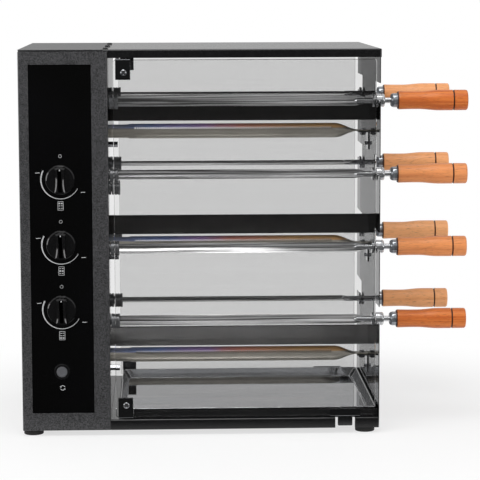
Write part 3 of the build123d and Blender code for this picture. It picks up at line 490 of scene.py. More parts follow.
# Back cover of the control box: a coated sheet with pressed cooling slots, a hole for the gas nipple and one
# for the mains gland, held by screws.
cover_low, cover_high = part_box("control_box_back")
slot_half_length, slot_half_height, slot_pitch, slots = 30 * mm, 2 * mm, 12 * mm, 7
vent_x, vent_z = left + 62.5 * mm, floor + 331 * mm
outlet_z = floor + 45 * mm
cover_holes = [y_turned(along(back, (-6, radius), (6, radius)), (x, outlet_z), around=40)
               for x, radius in ((left + 57.6 * mm, 6), (left + 92 * mm, 7))]
for z in vent_z + (np.arange(slots) - (slots - 1) / 2) * slot_pitch:
    cover_holes.append(plate((vent_x - slot_half_length, vent_x + slot_half_length),
                             (z - slot_half_height, z + slot_half_height), (back - 5 * mm, back + 5 * mm),
                             1.95 * mm, 0.01 * mm))
cover_plate = plate((cover_low.x, cover_high.x), (cover_low.z, cover_high.z), (back - sheet, back), 1.2 * mm,
                    0.25 * mm)
add_piece("box_back_cover", cover_plate, coated_steel, "root", "control_box_back",
          cut=cover_holes)

# Top cover: a coated plate folded down into lips at the front, right and back. Its left edge laps over the
# lid, and bosses under its front and back left corners hold the door pins.
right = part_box("top_cover")[1].x
lip = 12 * mm
lip_start = divider + 0.3 * mm
plan = bent([(seam, front), (right, front), (right, back), (seam, back)], 2.2 * mm)
plan = np.concatenate([plan[:1], [(lip_start, front)], plan[1:-1], [(lip_start, back)], plan[-1:]])
cover_rings = []
for share in np.linspace(np.pi / 2, 0, 6):
    inset = bend * (1 - np.cos(share))
    ring = np.column_stack([np.minimum(plan[:, 0], right - inset),
                            np.clip(plan[:, 1], front + inset, back - inset)])
    cover_rings.append(np.insert(ring, 2, top - bend * (1 - np.sin(share)), axis=1))
cover_rings = np.array(cover_rings + [np.insert(plan, 2, top - lip, axis=1)])
cover_cells = np.ones((len(cover_rings) - 1, len(plan) - 1), bool)
cover_cells[-1, [0, -1]] = False
cover_points, cover_faces = sheet_grid(cover_rings, cover_cells)
cover_faces.append(list(range(len(plan))))
add_piece("top_cover_fold", (cover_points, cover_faces), satin_coat, "root", "top_cover", sheet,
          edge_break)
bosses = [slab(boss_x, (side * (back - sheet), side * (back - 10 * mm)), (top - lip + 0.3 * mm, under))
          for side in (-1, 1)]
add_piece("top_cover_bosses", join(*bosses), satin_coat, "root", "top_cover", bevel=0.4 * mm)

# Case screws: black zinc-plated pan heads with a cross recess, along the lid seam, round the back cover and at
# the foot of the right wall.


def cross_screw(radius, height, recess, around=48):
    """A pan head facing +Z: rings that dome in from the rim, then a cross-shaped ring, repeated lower for
    the floor of the recess. The cross is the circle of its arms' reach cut to bars of its arms' width."""
    angle = np.linspace(0, 2 * np.pi, around, endpoint=False) + np.pi / around
    circle = np.column_stack([np.cos(angle), np.sin(angle)])
    arm, width = 0.62 * radius, 0.17 * radius
    small = np.abs(circle).min(axis=1)
    cross = np.where(small * arm > width, width / small, arm)[:, None]
    dome = ((1, 0), (1, 0.35), (0.97, 0.62), (0.86, 0.88), (0.7, 1))
    rings = [np.insert(circle * radius * share, 2, height * rise, axis=1) for share, rise in dome]
    rings += [np.insert(circle * cross, 2, height, axis=1),
              np.insert(circle * cross * 0.8, 2, height - recess, axis=1)]
    return skin(rings)


def facing(shell, direction, place):
    """Turn a shell that faces +Z to face a direction along an axis, and move it to a place."""
    x, y, z = shell[0].T
    axis, sign = direction
    turned_points = {2: (x, y * sign, z * sign), 1: (x, z * sign, y), 0: (z * sign, x, y)}[axis]
    return np.column_stack(turned_points) + np.asarray(place, float), shell[1]


# Black zinc on steel: dark grey, satin, with a sheen on the domes.
black_zinc = mottled("black_zinc_plated_steel", 3.3 * mm, ("#1b1b1c", "#29292a"), sheen=(0.09, 0.2), detail=3.0,
                     Metallic=0.4)

head = cross_screw(3.8 * mm, 2.2 * mm, 1.2 * mm)
seam_screws = [(divider - 3 * mm, front + y * mm, top) for y in (22, 141, 260)]
wall_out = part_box("right_wall")[1].x
heads = [facing(head, (2, 1), place) for place in seam_screws]
heads += [facing(head, (1, 1), (x, back, floor + z * mm)) for x in (left + 14 * mm, divider - 14 * mm)
          for z in (60, 270, 480)]
heads += [facing(head, (0, 1), (wall_out, y, floor + 8 * mm)) for y in (front + 30 * mm, back - 30 * mm)]
shanks = [turned(along(0, (-7, 1.5), (0, 1.5)), place, 2, 16) for place in seam_screws]
add_piece("case_screw_heads", join(*heads, *shanks), black_zinc, "root", "case_screws")

# Divider wall and right wall: mirror-polished stainless plates that close the chamber. The right one is
# notched to its edges, so that each skewer's neck drops into a half-round cradle.

# Stainless steel, mirror-polished: bright, with faint long polishing lines and a few wiped smears. The lines
# are drawn 1.1 mm wide, coarser than the real ones, so that they show.
mirror_steel, tree, shader, place = new_material("mirror_polished_stainless", Metallic=1.0,
                                                 Specular_Tint=(0.55, 0.55, 0.55, 1))
drawn = add_node(tree, "Mapping", Vector=place, Scale=1 / np.array([25 * mm, 80 * mm, 1.1 * mm]))
lines = add_node(tree, "TexNoise", Vector=drawn, Scale=1.0, Detail=3.0)
smear = add_node(tree, "TexNoise", Vector=place, Scale=1 / (70 * mm), Detail=4.0)
wire(shader, Base_Color=add_node(tree, "ValToRGB", {"stops": ((0.3, "#86878a"), (0.7, "#8f9093"))},
                                 Fac=smear),
     Roughness=add_node(tree, "MapRange", Value=lines, From_Min=0.3, From_Max=0.7, To_Min=0.01, To_Max=0.03),
     Normal=add_node(tree, "Bump", Strength=0.05, Distance=0.05 * mm, Height=lines))


def dress(node, material):
    """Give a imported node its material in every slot."""
    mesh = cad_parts[node].data
    mesh.materials.clear()
    mesh.materials.append(material)


dress("divider_wall", mirror_steel)
dress("right_wall", mirror_steel)

# Skewer drive inside the box: bearing plate, sintered bushes, roller chain and the gear motor. It shows only
# through the cooling slots.

# Zinc plating is bright grey and a little uneven in its shine, sintered bronze is porous and dull, the oiled
# chain is nearly black, and the motor's enamel is plain grey.
zinc_steel = mottled("zinc_plated_steel", 3.3 * mm, ("#8f9093", "#b4b5b8"), sheen=(0.04, 0.12), detail=3.0,
                     Metallic=1.0)
bronze = mottled("sintered_bronze", 0.7 * mm, ("#7a5a34", "#a5804f"), (0.35, 0.65), Metallic=1.0,
                 Roughness=0.42)
chain_steel = mottled("oiled_chain_steel", 3 * mm, ("#3a3a3c", "#5c5c5f"), Metallic=1.0, Roughness=0.35)
motor_paint = mottled("grey_motor_enamel", 3 * mm, ("#55585b", "#63666a"), Roughness=0.4)
dress("bearing_plate", zinc_steel)
dress("hub_bushes", bronze)
dress("drive_chain", chain_steel)
dress("gear_motor", motor_paint)

# Gas train: brass valves on an upright steel manifold, bent aluminium pipes to the burners, and the hose
# nipple that comes out at the back beside the nylon gland of the mains lead.

# Machined brass is yellow with a soft shine, drawn aluminium pale and hazy, moulded nylon black and satin.
brass = mottled("machined_brass", 2 * mm, ("#a8873f", "#c9a85c"), Metallic=1.0, Roughness=0.3)
aluminium = mottled("drawn_aluminium", 5 * mm, ("#a9abad", "#c3c5c7"), Metallic=1.0, Roughness=0.36)
nylon = mottled("black_nylon", 1.4 * mm, ("#141414", "#1e1e1e"), Roughness=0.5, IOR=1.53)
dress("gas_valves", brass)
dress("burner_pipes", aluminium)
dress("gas_manifold", zinc_steel)
dress("cable_gland", nylon)

# Burners: stainless tubes with a row of slit ports on each flank, necked down where they leave the box and
# pressed flat at the right, where a bolt holds them. Along the ports the steel is heat-tinted straw, blue and
# violet, and this band is painted bright as a painted glow that stands in for the flames' light. The real
# ports are 2.4 mm apart: that is too fine to show, so they are drawn a little coarser.
port_pitch, port_width = 3.3 * mm, 2 * mm
port_angle, port_half_angle = radians(25), radians(14)
tube_radius, neck_radius, tube_wall = 11 * mm, 10 * mm, 1 * mm
tab_half_height, tab_half_width = 1.2 * mm, 10 * mm
burners_low, burners_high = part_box("burners")
burner_levels = np.linspace(burners_high.z - tube_radius, burners_low.z + tube_radius, 3)

# Stainless steel, heat-tinted: beige-grey, and blue, violet and straw along the ports, by how hot they ran.
# The band's bright, pale colours are also painted light: they stand in for the glow of the flames.
tint_and_glow_steel, tree, shader, place = new_material("heat_tint_and_painted_glow_stainless")
position = add_node(tree, "SeparateXYZ", Vector=place).outputs
drift = add_node(tree, "TexNoise", Vector=place, Scale=1 / (45 * mm), Detail=3.0)
length = add_node(tree, "MapRange", Value=position[0], From_Min=divider, From_Max=wall_in)
warm = add_node(tree, "Math", {"operation": "MULTIPLY_ADD"}, _0=drift, _1=0.25, _2=length)
plain = add_node(tree, "ValToRGB", {"stops": ((0.3, "#cbc5b9"), (0.7, "#dcd6ca"))}, Fac=drift)
# Painted flame glow: these pale blue, violet, pink and straw colours are heat tint painted bright for the
# flames' light.
stain = add_node(tree, "ValToRGB", {"stops": (
    (0.1, "#b4b8c4"), (0.3, "#a6bcff"), (0.48, "#e0b4f8"), (0.62, "#ffa898"), (0.85, "#ffc888"))}, Fac=warm)
# The tint, with its painted flame glow, is a band 8 mm above each burner's axis. Heights are wrapped by the
# burners' pitch, so that one band worked out for the lowest burner serves all three.
burner_low = float(burner_levels[2])
half_pitch = float(burner_levels[0] - burner_levels[2]) / 4
on_lowest = add_node(tree, "Math", {"operation": "WRAP"}, _0=position[2], _1=burner_low + half_pitch,
                     _2=burner_low - half_pitch)
height = add_node(tree, "Math", {"operation": "SUBTRACT"}, _0=on_lowest, _1=burner_low + 8 * mm)
beside = add_node(tree, "Math", {"operation": "ABSOLUTE"}, _0=height)
tint_and_glow_band = add_node(tree, "MapRange", {"interpolation_type": "SMOOTHSTEP"}, Value=beside, From_Min=2.4 * mm,
                From_Max=4.4 * mm, To_Min=1.0, To_Max=0.0)
wire(shader, Base_Color=add_node(tree, "MixRGB", Fac=tint_and_glow_band, Color1=plain, Color2=stain),
     Metallic=add_node(tree, "MapRange", Value=tint_and_glow_band, To_Min=0.45, To_Max=0.1),
     Roughness=add_node(tree, "MapRange", Value=drift, From_Min=0.3, From_Max=0.7, To_Min=0.15, To_Max=0.26))

neck_end, step_end = divider + 25 * mm, divider + 28 * mm
port_x = np.arange(divider + 35 * mm, divider + 326 * mm, port_pitch)
tube_end, tab_start = right - 52.5 * mm, right - 18.5 * mm
port_edges = np.column_stack([port_x, port_x + port_width]).ravel()
pressed_x = tube_end + (tab_start - tube_end) * np.linspace(0.1, 1, 12)
stations = np.concatenate([[burners_low.x, neck_end, step_end], port_edges, [tube_end], pressed_x,
                           [burners_high.x]])
squeeze = np.clip((stations - tube_end) / (tab_start - tube_end), 0, 1)
squeeze = squeeze ** 2 * (3 - 2 * squeeze)
round_part = np.where(stations < step_end - 1e-6, neck_radius, tube_radius) * (1 - squeeze)
angle = np.linspace(0, 2 * np.pi, 65)
tube = np.empty((len(stations), len(angle), 3))
tube[:, :, 0] = stations[:, None]
tube[:, :, 1] = (round_part + tab_half_width * squeeze)[:, None] * np.cos(angle)
tube[:, :, 2] = (round_part + tab_half_height * squeeze)[:, None] * np.sin(angle)
middle = (angle[:-1] + angle[1:]) / 2
slit = np.minimum(np.abs(middle - port_angle), np.abs(middle - np.pi + port_angle)) < port_half_angle
tube_cells = np.ones((len(stations) - 1, len(angle) - 1), bool)
tube_cells[np.ix_(3 + 2 * np.arange(len(port_x)), slit)] = False
for level, z in zip(knob_levels, burner_levels):
    add_piece(f"burner_tube_{level}", sheet_grid(tube + (0, 0, z), tube_cells), tint_and_glow_steel, "root",
              "burners", tube_wall)
dress("burner_angles", zinc_steel)

# Drip shields: a folded roof of black-oxidised steel over each burner, from wall to wall, that keeps dripping
# fat off the ports.

# Mild steel, black-oxidised: nearly black and smooth, with finely speckled reflections.
shield_steel, tree, shader, place = new_material("oxidised_steel", Metallic=0.2, IOR=1.5)
stain = add_node(tree, "TexNoise", Vector=place, Scale=1 / (40 * mm), Detail=5.0)
speck = add_node(tree, "TexNoise", Vector=place, Scale=1 / (2.4 * mm), Detail=2.0)
wire(shader, Base_Color=add_node(tree, "ValToRGB", {"stops": ((0.3, "#2a2929"), (0.7, "#363433"))},
                                 Fac=stain),
     Roughness=add_node(tree, "MapRange", Value=speck, From_Min=0.3, From_Max=0.7, To_Min=0.09, To_Max=0.21))
eave, ridge, half_span = 17 * mm, 45 * mm, 20 * mm
roofs = [sheet_grid(folded(bent([(-half_span, z + eave), (0, z + ridge), (half_span, z + eave)], 3 * mm, 8), 0,
                           np.linspace(divider, wall_in, 5))) for z in burner_levels]
add_piece("drip_shield_roofs", join(*roofs), shield_steel, "root", "drip_shields", sheet,
          0.2 * mm)
dress("burner_bolts", zinc_steel)

# Drive sockets: turned steel heads with two ring grooves and a slot that grips the skewer's flat tip, on
# shafts that run in the bushes and carry the chain sprockets.

# Free-cutting steel, turned and dulled by heat and oil: an even grey with rings left by the tool.
turning = (1.1 * mm, 33 * mm, 33 * mm)
dull_steel = mottled("dull_turned_steel", turning, ("#77787a", "#8d8e90"), sheen=(0.18, 0.27), Metallic=0.45)

socket_start, socket_radius, groove_radius, chamfer = divider + 0.5 * mm, 10.7, 10, 0.35
shaft_radius = 6
sprocket_start, sprocket_width = left + 104 * mm, 3 * mm
sprocket_tip, tooth_depth, teeth = 19 * mm, 2.6 * mm, 12
head_profile = along(socket_start, (0, shaft_radius), (0, socket_radius - chamfer), (chamfer, socket_radius))
head_profile += along(divider, (3.8, socket_radius), (4, groove_radius), (5, groove_radius),
                      (5.2, socket_radius), (7.8, socket_radius), (8, groove_radius), (9.1, groove_radius),
                      (9.3, socket_radius), (13 - 2 * chamfer, socket_radius),
                      (13 - 0.5 * chamfer, socket_radius - 0.6 * chamfer), (13, socket_radius - 2 * chamfer),
                      (13, 2))


def sprocket(y, z):
    """A toothed disc: its radius falls from the tip by the tooth depth, as 1 - |cos(6 a)| ^ 0.8."""
    angle = np.linspace(0, 2 * np.pi, 144, endpoint=False)
    radius = sprocket_tip - tooth_depth * (1 - np.abs(np.cos(teeth / 2 * angle)) ** 0.8)
    rim = np.column_stack([y + radius * np.cos(angle), z + radius * np.sin(angle)])
    return skin([np.insert(rim, 0, x, axis=1) for x in (sprocket_start, sprocket_start + sprocket_width)])


def tip_slot(y, z, turn):
    """The cutter for the slot in a socket's face, turned with the blade."""
    points, faces = slab((divider + 5 * mm, divider + 15 * mm), (-7.55 * mm, 7.55 * mm), (-3.1 * mm, 3.1 * mm))
    spin = np.array([[cos(turn), sin(turn)], [-sin(turn), cos(turn)]])
    return np.column_stack([points[:, 0], points[:, 1:] @ spin + (y, z)]), faces


def add_socket(kind, label, body, node, centre, turn, shaft_start):
    """A drive socket's two pieces: the slotted head, and the shaft with its sprocket."""
    add_piece(f"{kind}_head{label}", turned(head_profile, centre), dull_steel, body, node,
              cut=[tip_slot(*centre[1:], turn)])
    shaft_profile = along(shaft_start, (0, 5.4), (0.6, shaft_radius)) + along(socket_start, (0, shaft_radius))
    shaft = turned(shaft_profile, centre, 0, 40)
    add_piece(f"{kind}_shaft{label}", join(shaft, sprocket(*centre[1:])), dull_steel, body,
              node)


blade_turns = {"front": (84, 58, 96, 66), "rear": (4, 3, 8, 12)}
columns = {"front": front + 70 * mm, "rear": back - 70 * mm}
handle_boxes = [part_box(f"handle_front_{number}") for number in (1, 2, 3, 4)]
levels = [(low.z + high.z) / 2 for low, high in handle_boxes]
spits = [(f"{side}_{number}", (0, columns[side], z), radians(turn)) for side, turns in blade_turns.items()
         for number, (z, turn) in enumerate(zip(levels, turns), start=1)]
for label, centre, turn in spits:
    add_socket("socket", f"_{label}", f"spit_{label}", f"drive_socket_{label}", centre, turn, left + 88 * mm)
centre_z = floor + 331 * mm
add_socket("centre_socket", "", "centre_drive", "centre_socket", (0, 0, centre_z), 0,
           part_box("centre_socket")[0].x)

# Skewers: polished stainless blades folded to a V, welded on a rod with a turned spool, whose neck rests in
# the right wall's cradle, and a bell ferrule that holds the handle.

# Stainless steel, polished blade: bright and drawn along its length. Its light and dark streaks, from mid grey
# to white, are painted reflections laid along the drawn lines.
blade_steel = mottled("polished_blade_stainless", (200 * mm, 2.4 * mm, 2.4 * mm), ("#6c6c6c", "#ffffff"),
                      (0.4, 0.6), sheen=(0.06, 0.15), Metallic=0.6)

# Stainless steel, turned: bright rings round the axis.
turned_steel = mottled("turned_stainless", turning, ("#bcbdbf", "#d6d7d9"), sheen=(0.07, 0.13), Metallic=0.85)

# Ferrules of steel, turned and burnished: blue-grey with bright reflections.
burnished_steel = mottled("burnished_steel", (2 * mm, 25 * mm, 25 * mm), ("#8c9095", "#a9adb2"), (0.35, 0.65),
                          sheen=(0.05, 0.12), Metallic=0.7)

neck_start = wall_in - 0.7 * mm
neck_end = neck_start + 10.1 * mm
spool_end = neck_end + 4.5 * mm
ferrule_start = spool_end + 8.5 * mm
handle_start = ferrule_start + 10 * mm
blade_start, blade_end = divider + 5 * mm, neck_start - 12.9 * mm
section = mm * np.array([(-7.25, 2.5), (-6.85, 2.6), (-0.7, -2), (0, -2.3), (0.7, -2), (6.85, 2.6), (7.25, 2.5),
                         (7.25, 1.2), (0.8, -3.4), (0, -3.6), (-0.8, -3.4), (-7.25, 1.2)])
stations = np.array([blade_start, blade_start + 2 * mm, blade_end - 16 * mm, blade_end - 6 * mm, blade_end])
widths = np.array([0.93, 1.0, 1.0, 0.78, 0.45])[:, None]
blade = np.stack([section[:, 0] * widths, section[:, 1] * (0.35 + 0.65 * widths)], -1)
rod_profile = along(blade_end, (-16, 2.2), (-13, 4)) + along(neck_start, (-3.4, 4))
spool_profile = (along(neck_start, (-3.4, 3), (-3.4, 9), (-2.9, 9.5), (-0.5, 9.5), (0, 9), (0, 5.5), (0.5, 5.3))
                 + along(wall_out, (0.4, 5.3), (0.6, 5.5), (0.6, 9), (1.1, 9.5))
                 + along(neck_end, (-1, 9.5), (-0.5, 9), (0, 9), (0.5, 9.5))
                 + along(spool_end, (-2.4, 9.5), (-1.1, 9.1), (-0.3, 8.1), (0, 6.8), (0, 4.2), (0.3, 4))
                 + along(ferrule_start, (1, 4), (1, 2)))
ferrule_profile = (along(ferrule_start, (0, 3), (0, 7.5), (0.4, 8.2), (1.6, 9.2), (3, 9.8), (4.6, 10.1))
                   + along(handle_start, (-1, 10.2), (0, 10), (0, 3)))
for label, centre, turn in spits:
    rings = blade @ np.array([[cos(turn), sin(turn)], [-sin(turn), cos(turn)]]) + centre[1:]
    rings = np.concatenate([np.broadcast_to(stations[:, None, None], (*rings.shape[:2], 1)), rings], -1)
    rod = join(turned(rod_profile, centre, 0, 40), turned(spool_profile, centre, 0, 56))
    ferrule = turned(ferrule_profile, centre, 0, 56)
    for part, shell, metal, crease in (("blade", skin(rings), blade_steel, 25), ("rod", rod, turned_steel, 28),
                                       ("ferrule", ferrule, burnished_steel, 28)):
        add_piece(f"skewer_{part}_{label}", shell, metal, f"spit_{label}", f"skewer_{label}",
                  crease=crease)

# Handles: turned beech, waisted near the ferrule, with one burnt groove near the rounded end, driven on the
# skewer's rod and held by the ferrule.

# Beech, turned and oiled: orange-brown to pale, with straight grain along the handle, and burnt at the groove
# and the ferrule. The front handles differ in tone by the board each was cut from. The rear handles' pale tone
# is painted light, standing in for the brighter light that falls on them. The wood's short dark flecks are
# drawn
# 0.7 mm wide, coarser than real, so that they show.
wood, tree, shader, place = new_material("oiled_beech", IOR=1.45)
handle_end = handle_boxes[0][1].x
groove_x = handle_end - 20.5 * mm
shift = add_node(tree, "Math", {"operation": "MULTIPLY"},
                 _0=add_node(tree, "ObjectInfo").outputs["Random"], _1=3.0)
long_grain = add_node(tree, "Mapping", Vector=place, Scale=1 / np.array([160 * mm, 5.2 * mm, 5.2 * mm]))
years = add_node(tree, "TexNoise", {"noise_dimensions": "4D"}, Vector=long_grain, W=shift, Scale=1.0,
                 Detail=4.0, Distortion=0.4)
fine_grain = add_node(tree, "Mapping", Vector=place, Scale=1 / np.array([11 * mm, 0.7 * mm, 0.7 * mm]))
pores = add_node(tree, "TexNoise", Vector=fine_grain, Scale=1.0, Detail=1.0)
dark_tone_ramp = add_node(tree, "ValToRGB", {"stops": (
    (0.25, "#ae5019"), (0.45, "#c56526"), (0.6, "#d87a34"), (0.8, "#b85b20"))}, Fac=years)
# The pale ramp carries the rear handles' painted light.
pale_tone_ramp = add_node(tree, "ValToRGB", {"stops": (
    (0.25, "#eb9f62"), (0.5, "#fcb67c"), (0.8, "#f0a86d"))}, Fac=years)
board_and_light_tone = add_node(tree, "Attribute", {"attribute_name": "board_and_light_tone"}).outputs["Fac"]
toned_wood = add_node(tree, "MixRGB", Fac=board_and_light_tone, Color1=dark_tone_ramp, Color2=pale_tone_ramp)
flecks = add_node(tree, "ValToRGB", {"stops": ((0.28, "#8a8a8a"), (0.42, "#ffffff"))}, Fac=pores)
timber = add_node(tree, "MixRGB", {"blend_type": "MULTIPLY"}, Fac=0.55, Color1=toned_wood, Color2=flecks)
x = add_node(tree, "SeparateXYZ", Vector=place)
at_groove = add_node(tree, "Math", {"operation": "COMPARE"}, _0=x, _1=groove_x, _2=1.1 * mm)
at_ferrule = add_node(tree, "Math", {"operation": "COMPARE"}, _0=x, _1=handle_start, _2=1.3 * mm)
burnt = add_node(tree, "Math", {"operation": "MAXIMUM"}, _0=at_groove, _1=at_ferrule)
wire(shader, Base_Color=add_node(tree, "MixRGB", Fac=burnt, Color1=timber, Color2=linear("#4a2412")),
     Roughness=add_node(tree, "MapRange", Value=years, From_Min=0.3, From_Max=0.7, To_Min=0.31, To_Max=0.42),
     Normal=add_node(tree, "Bump", Strength=0.12, Distance=0.1 * mm, Height=pores))

# The waist swells by a smooth step between 30 and 60 percent of the length, and flares a little at the ferrule.
share = np.linspace(0.02, 0.78, 28)
step = np.clip((share - 0.3) / 0.3, 0, 1)
swell = 12.8 * mm + 2 * mm * step ** 2 * (3 - 2 * step) + 0.5 * mm * np.clip(1 - share / 0.22, 0, 1) ** 2
round_off, rounding, end_radius = np.linspace(0, np.pi / 2, 6), 2.6 * mm, 14.7 * mm
handle_profile = np.concatenate([
    along(handle_start, (0, 3), (0, 12.4)),
    np.column_stack([handle_start + share * (handle_end - handle_start), swell]),
    along(groove_x, (-1, 14.8), (-0.5, 13.9), (0.5, 13.9), (1, 14.8)),
    np.column_stack([handle_end - rounding * (1 - np.sin(round_off)),
                     end_radius - rounding * (1 - np.cos(round_off))]),
    along(handle_end, (0, 2))])
# Tones per handle: the front ones by board, the rear ones high as painted light for the brighter light on them.
board_and_painted_light_tones = (0.0, 0.4, 0.36, 0.0, 0.75, 0.8, 1.0, 0.9)
for (label, centre, turn), board_and_light_tone in zip(spits, board_and_painted_light_tones):
    handle = add_piece(f"skewer_handle_{label}", turned(handle_profile, centre, 0, 72), wood, f"spit_{label}",
                       f"handle_{label}", crease=40)
    shade = handle.data.attributes.new("board_and_light_tone", "FLOAT", "POINT")
    shade.data.foreach_set("value", np.full(len(handle.data.vertices), board_and_light_tone))

# Doors: toughened glass panes, front and back, each hung at its left edge on two folded clips whose pins
# turn in the deck and in the cover, and opened by a folded steel pull that hangs in a skirt's cut-out.

# Toughened soda-lime glass: clear and faintly grey, and lamps shine through it.
glass, tree, shader, place = new_material("toughened_glass", Base_Color=linear("#e8e8e8"), Roughness=0.0,
                                          IOR=1.5, Transmission_Weight=1.0)
light_path = add_node(tree, "LightPath").outputs["Is Shadow Ray"]
clear = add_node(tree, "BsdfTransparent", Color=linear("#e8e8e8"))
wire(tree.nodes["Material Output"], Surface=add_node(tree, "MixShader", _0=light_path, _1=shader, _2=clear))

# Pressed stainless, tumbled: satin grey.
pressed_steel = mottled("tumbled_stainless", 1.7 * mm, ("#505153", "#58595b"), sheen=(0.07, 0.15), Metallic=1.0)

pane_corner, pane_edge, screw_inset, tab_half = 4 * mm, 0.6 * mm, 18 * mm, 10.5 * mm
clip_metal, clip_leg, clip_bend, clip_edge = 1.5 * mm, 28 * mm, 0.8 * mm, 0.3 * mm
clip_screw = cross_screw(4.6 * mm, 2.4 * mm, 1.3 * mm)
for side, out in (("front", -1), ("rear", 1)):
    body = f"{side}_door"
    low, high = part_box(f"{side}_door_glass")
    pane = plate((low.x, high.x), (low.z, high.z), (low.y, high.y), pane_corner, pane_edge)
    add_piece(f"{side}_glass_pane", pane, glass, body, f"{side}_door_glass", crease=30)
    clip_low, clip_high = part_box(f"{side}_hinge_clips")
    clips = []
    for edge, leg_end in ((high.z, high.z - clip_leg), (low.z, low.z + clip_leg)):
        legs = bent([(low.y, leg_end), (low.y, edge), (high.y, edge), (high.y, leg_end)], clip_bend, 4)
        clips.append(sheet_grid(folded(legs, 0, [clip_low.x, clip_high.x])))
    add_piece(f"{side}_clips", join(*clips), pressed_steel, body, f"{side}_hinge_clips",
              -clip_metal, clip_edge)
    face = (low.y if out < 0 else high.y) + out * clip_metal
    screw_x = (clip_low.x + clip_high.x) / 2 + 1 * mm
    fixings = [facing(clip_screw, (1, out), (screw_x, face, z))
               for z in (high.z - screw_inset, low.z + screw_inset)]
    for start, end in ((high.z + clip_metal, clip_high.z), (clip_low.z, low.z - clip_metal)):
        fixings.append(turned(along(start, (0, 2), (0.6, 2.5)) + along(end, (-0.6, 2.5), (0, 2)),
                              (pivot_x, (low.y + high.y) / 2, 0), 2, 32))
    add_piece(f"{side}_clip_screws", join(*fixings), zinc_steel, body)
    pull_low, pull_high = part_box(f"{side}_door_pull")
    legs = bent([(low.y, pull_high.z), (low.y, low.z), (high.y, low.z), (high.y, pull_high.z)], clip_bend, 4)
    add_piece(f"{side}_pull_clip", sheet_grid(folded(legs, 0, [pull_low.x, pull_high.x])), pressed_steel, body,
              f"{side}_door_pull", -clip_metal, clip_edge)
    tab = plate((pull_x - tab_half, pull_x + tab_half), (pull_low.z, low.z),
                sorted((face, face - out * clip_metal)), 2 * mm, 0.25 * mm)
    add_piece(f"{side}_pull_tab", tab, pressed_steel, body, f"{side}_door_pull")

# Fat tray: a shallow stainless pan, pressed with sloped ends and a rolled rim, which lies on the deck and
# lifts out over the upstands.

# Stainless steel, rolled bright: mirror-like but cloudy, with wiped streaks.
bright_steel = mottled("bright_rolled_stainless", (170 * mm, 17 * mm, 17 * mm), ("#cbccce", "#dadbdd"),
                       sheen=(0.02, 0.05), detail=4.0, Metallic=1.0)

tray_low, tray_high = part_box("drip_tray")
bead, tray_sheet = 1.2 * mm, 0.7 * mm
tray_steps = [(tray_low.z, 10.5 * mm, 4.4 * mm), (tray_low.z + 0.4 * mm, 9.6 * mm, 3.4 * mm),
              (tray_low.z + 1.4 * mm, 9 * mm, 2.9 * mm)]
tray_steps += [(tray_high.z - bead + bead * sin(turn), bead - bead * cos(turn), bead - bead * cos(turn))
               for turn in np.radians(np.arange(160, -51, -30))]
tray_rings = []
for height, inset_x, inset_y in tray_steps:
    outline = rounded_rectangle((tray_low.x + inset_x, tray_high.x - inset_x),
                                (tray_low.y + inset_y, tray_high.y - inset_y), 3.6 * mm)
    tray_rings.append(np.insert(outline, 2, height, axis=1))
add_piece("fat_tray", skin(tray_rings, (True, False)), bright_steel, "tray", "drip_tray",
          tray_sheet)

# Studio: a pale paper floor that keeps the grill's shadow and fades to the white surround, a dark cloth in
# front that only polished faces mirror, a large soft lamp overhead and a smaller one low at each side.


def sight(tree):
    """What Light Path says of a ray: its outputs, whether the ray comes straight or through glass, and whether
    a polished face mirrors it."""
    path = add_node(tree, "LightPath").outputs
    through = add_node(tree, "Math", {"operation": "MAXIMUM"}, _0=path["Is Camera Ray"],
                       _1=path["Is Transmission Ray"])
    return path, through, add_node(tree, "Math", {"operation": "GREATER_THAN"}, _0=path["Glossy Depth"], _1=0.5)


# Seamless paper: matt and off-white near the grill, plain white further off.
paper, tree, shader, place = new_material("seamless_paper", Base_Color=linear("#f2f2f2"), Roughness=0.9)
distance = add_node(tree, "VectorMath", {"operation": "LENGTH"}, _0=place).outputs["Value"]
fade = add_node(tree, "MapRange", {"interpolation_type": "SMOOTHSTEP"}, Value=distance, From_Min=0.34,
                From_Max=0.7, To_Min=0.68, To_Max=1.0)
path, through, polish = sight(tree)
seen = add_node(tree, "Math", {"operation": "MAXIMUM"}, _0=through, _1=path["Is Glossy Ray"])
glow = add_node(tree, "Math", {"operation": "MULTIPLY"}, _0=fade, _1=seen)
white = add_node(tree, "Emission", Color=linear("#ffffff"), Strength=1.0)
lit = add_node(tree, "MixShader", _0=glow, _1=shader, _2=white)
toward = add_node(tree, "SeparateXYZ", Vector=place).outputs[1]
cloth = add_node(tree, "MapRange", {"interpolation_type": "SMOOTHSTEP"}, Value=toward, From_Min=-0.27,
                 From_Max=-0.18, To_Min=1.0, To_Max=0.0)
mirrored = add_node(tree, "Math", {"operation": "MULTIPLY"}, _0=cloth, _1=polish)
dark = add_node(tree, "Emission", Color=linear("#ffffff"), Strength=0.08)
wire(tree.nodes["Material Output"], Surface=add_node(tree, "MixShader", _0=mirrored, _1=lit, _2=dark))
paper_x = paper_y = (-6.0, 6.0)
mesh = bpy.data.meshes.new("studio_floor")
mesh.from_pydata([(x, y, 0) for y in paper_y for x in paper_x], [], [[0, 1, 3, 2]])
mesh.materials.append(paper)
studio_floor = bpy.data.objects.new("studio_floor", mesh)
bpy.context.scene.collection.objects.link(studio_floor)

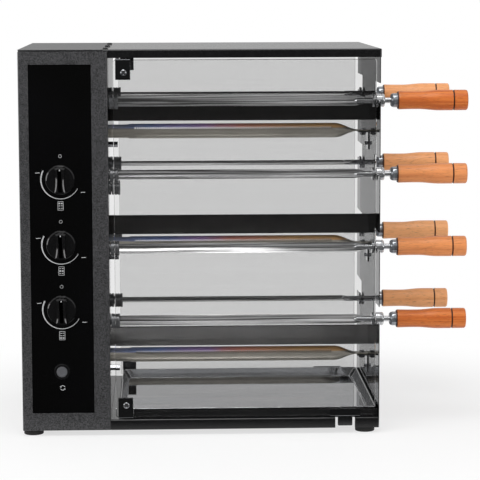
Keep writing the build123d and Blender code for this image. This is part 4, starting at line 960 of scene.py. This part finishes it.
# The surround is plain white where it is seen straight or through glass, and dimmer for what mirrors it, most
# of all low down in front.
world = bpy.data.worlds.new("studio")
bpy.context.scene.world = world
world.use_nodes = True
tree = world.node_tree
_, through, polish = sight(tree)
straight = add_node(tree, "MapRange", Value=through, To_Min=0.55, To_Max=1.0)
heading = add_node(tree, "TexCoord").outputs["Generated"]
toward, upward = add_node(tree, "SeparateXYZ", Vector=heading).outputs[1:3]
cloth = add_node(tree, "MapRange", {"interpolation_type": "SMOOTHSTEP"}, Value=toward, From_Min=-0.985,
                 From_Max=-0.9, To_Min=0.2, To_Max=1.0)
sky = add_node(tree, "MapRange", Value=upward, From_Min=0.03, From_Max=0.25, To_Min=0.46, To_Max=0.72)
mirrored = add_node(tree, "Math", {"operation": "MULTIPLY"}, _0=cloth, _1=sky)
wire(tree.nodes["Background"], Color=linear("#ffffff"),
     Strength=add_node(tree, "Mix", Factor=polish, A=straight, B=mirrored))


def add_lamp(name, place, target, size, power):
    """A square area lamp at a place, turned to face a target."""
    lamp = bpy.data.lights.new(name, "AREA")
    lamp.size, lamp.energy = size, power
    holder = bpy.data.objects.new(name, lamp)
    bpy.context.scene.collection.objects.link(holder)
    holder.location = place
    holder.rotation_euler = (Vector(target) - Vector(place)).to_track_quat("-Z", "Y").to_euler()


grill_middle = (0, 0, 0.3)
add_lamp("overhead_softbox", (-0.4, -0.9, 2.4), grill_middle, 1.6, 32)
add_lamp("left_softbox", (-2.2, -1.6, 0.6), grill_middle, 1.1, 15)
add_lamp("right_softbox", (2.0, -1.9, 0.5), grill_middle, 0.9, 10)

# Camera: a long lens from the front, slightly above and left of the middle, level but for a slight tilt, at
# the place from which the photograph was taken.
focal_pixels, frame_pixels, sensor = 2081, 480, 36
camera = bpy.data.cameras.new("camera")
camera.sensor_width = sensor
camera.lens = focal_pixels / frame_pixels * sensor
holder = bpy.data.objects.new("camera", camera)
bpy.context.scene.collection.objects.link(holder)
yaw, pitch, roll = radians(2.06), radians(7.0), radians(-0.15)
ahead = Vector((sin(yaw) * cos(pitch), cos(yaw) * cos(pitch), -sin(pitch)))
level_right = Vector((cos(yaw), -sin(yaw), 0))
level_up = level_right.cross(ahead)
image_right = cos(roll) * level_right + sin(roll) * level_up
image_up = cos(roll) * level_up - sin(roll) * level_right
turn = Matrix((image_right, image_up, -ahead)).transposed().to_4x4()
holder.matrix_world = Matrix.Translation((-115.45 * mm, -3088.75 * mm, 638.5 * mm)) @ turn
bpy.context.scene.camera = holder
bpy.context.scene.view_settings.view_transform = "Standard"
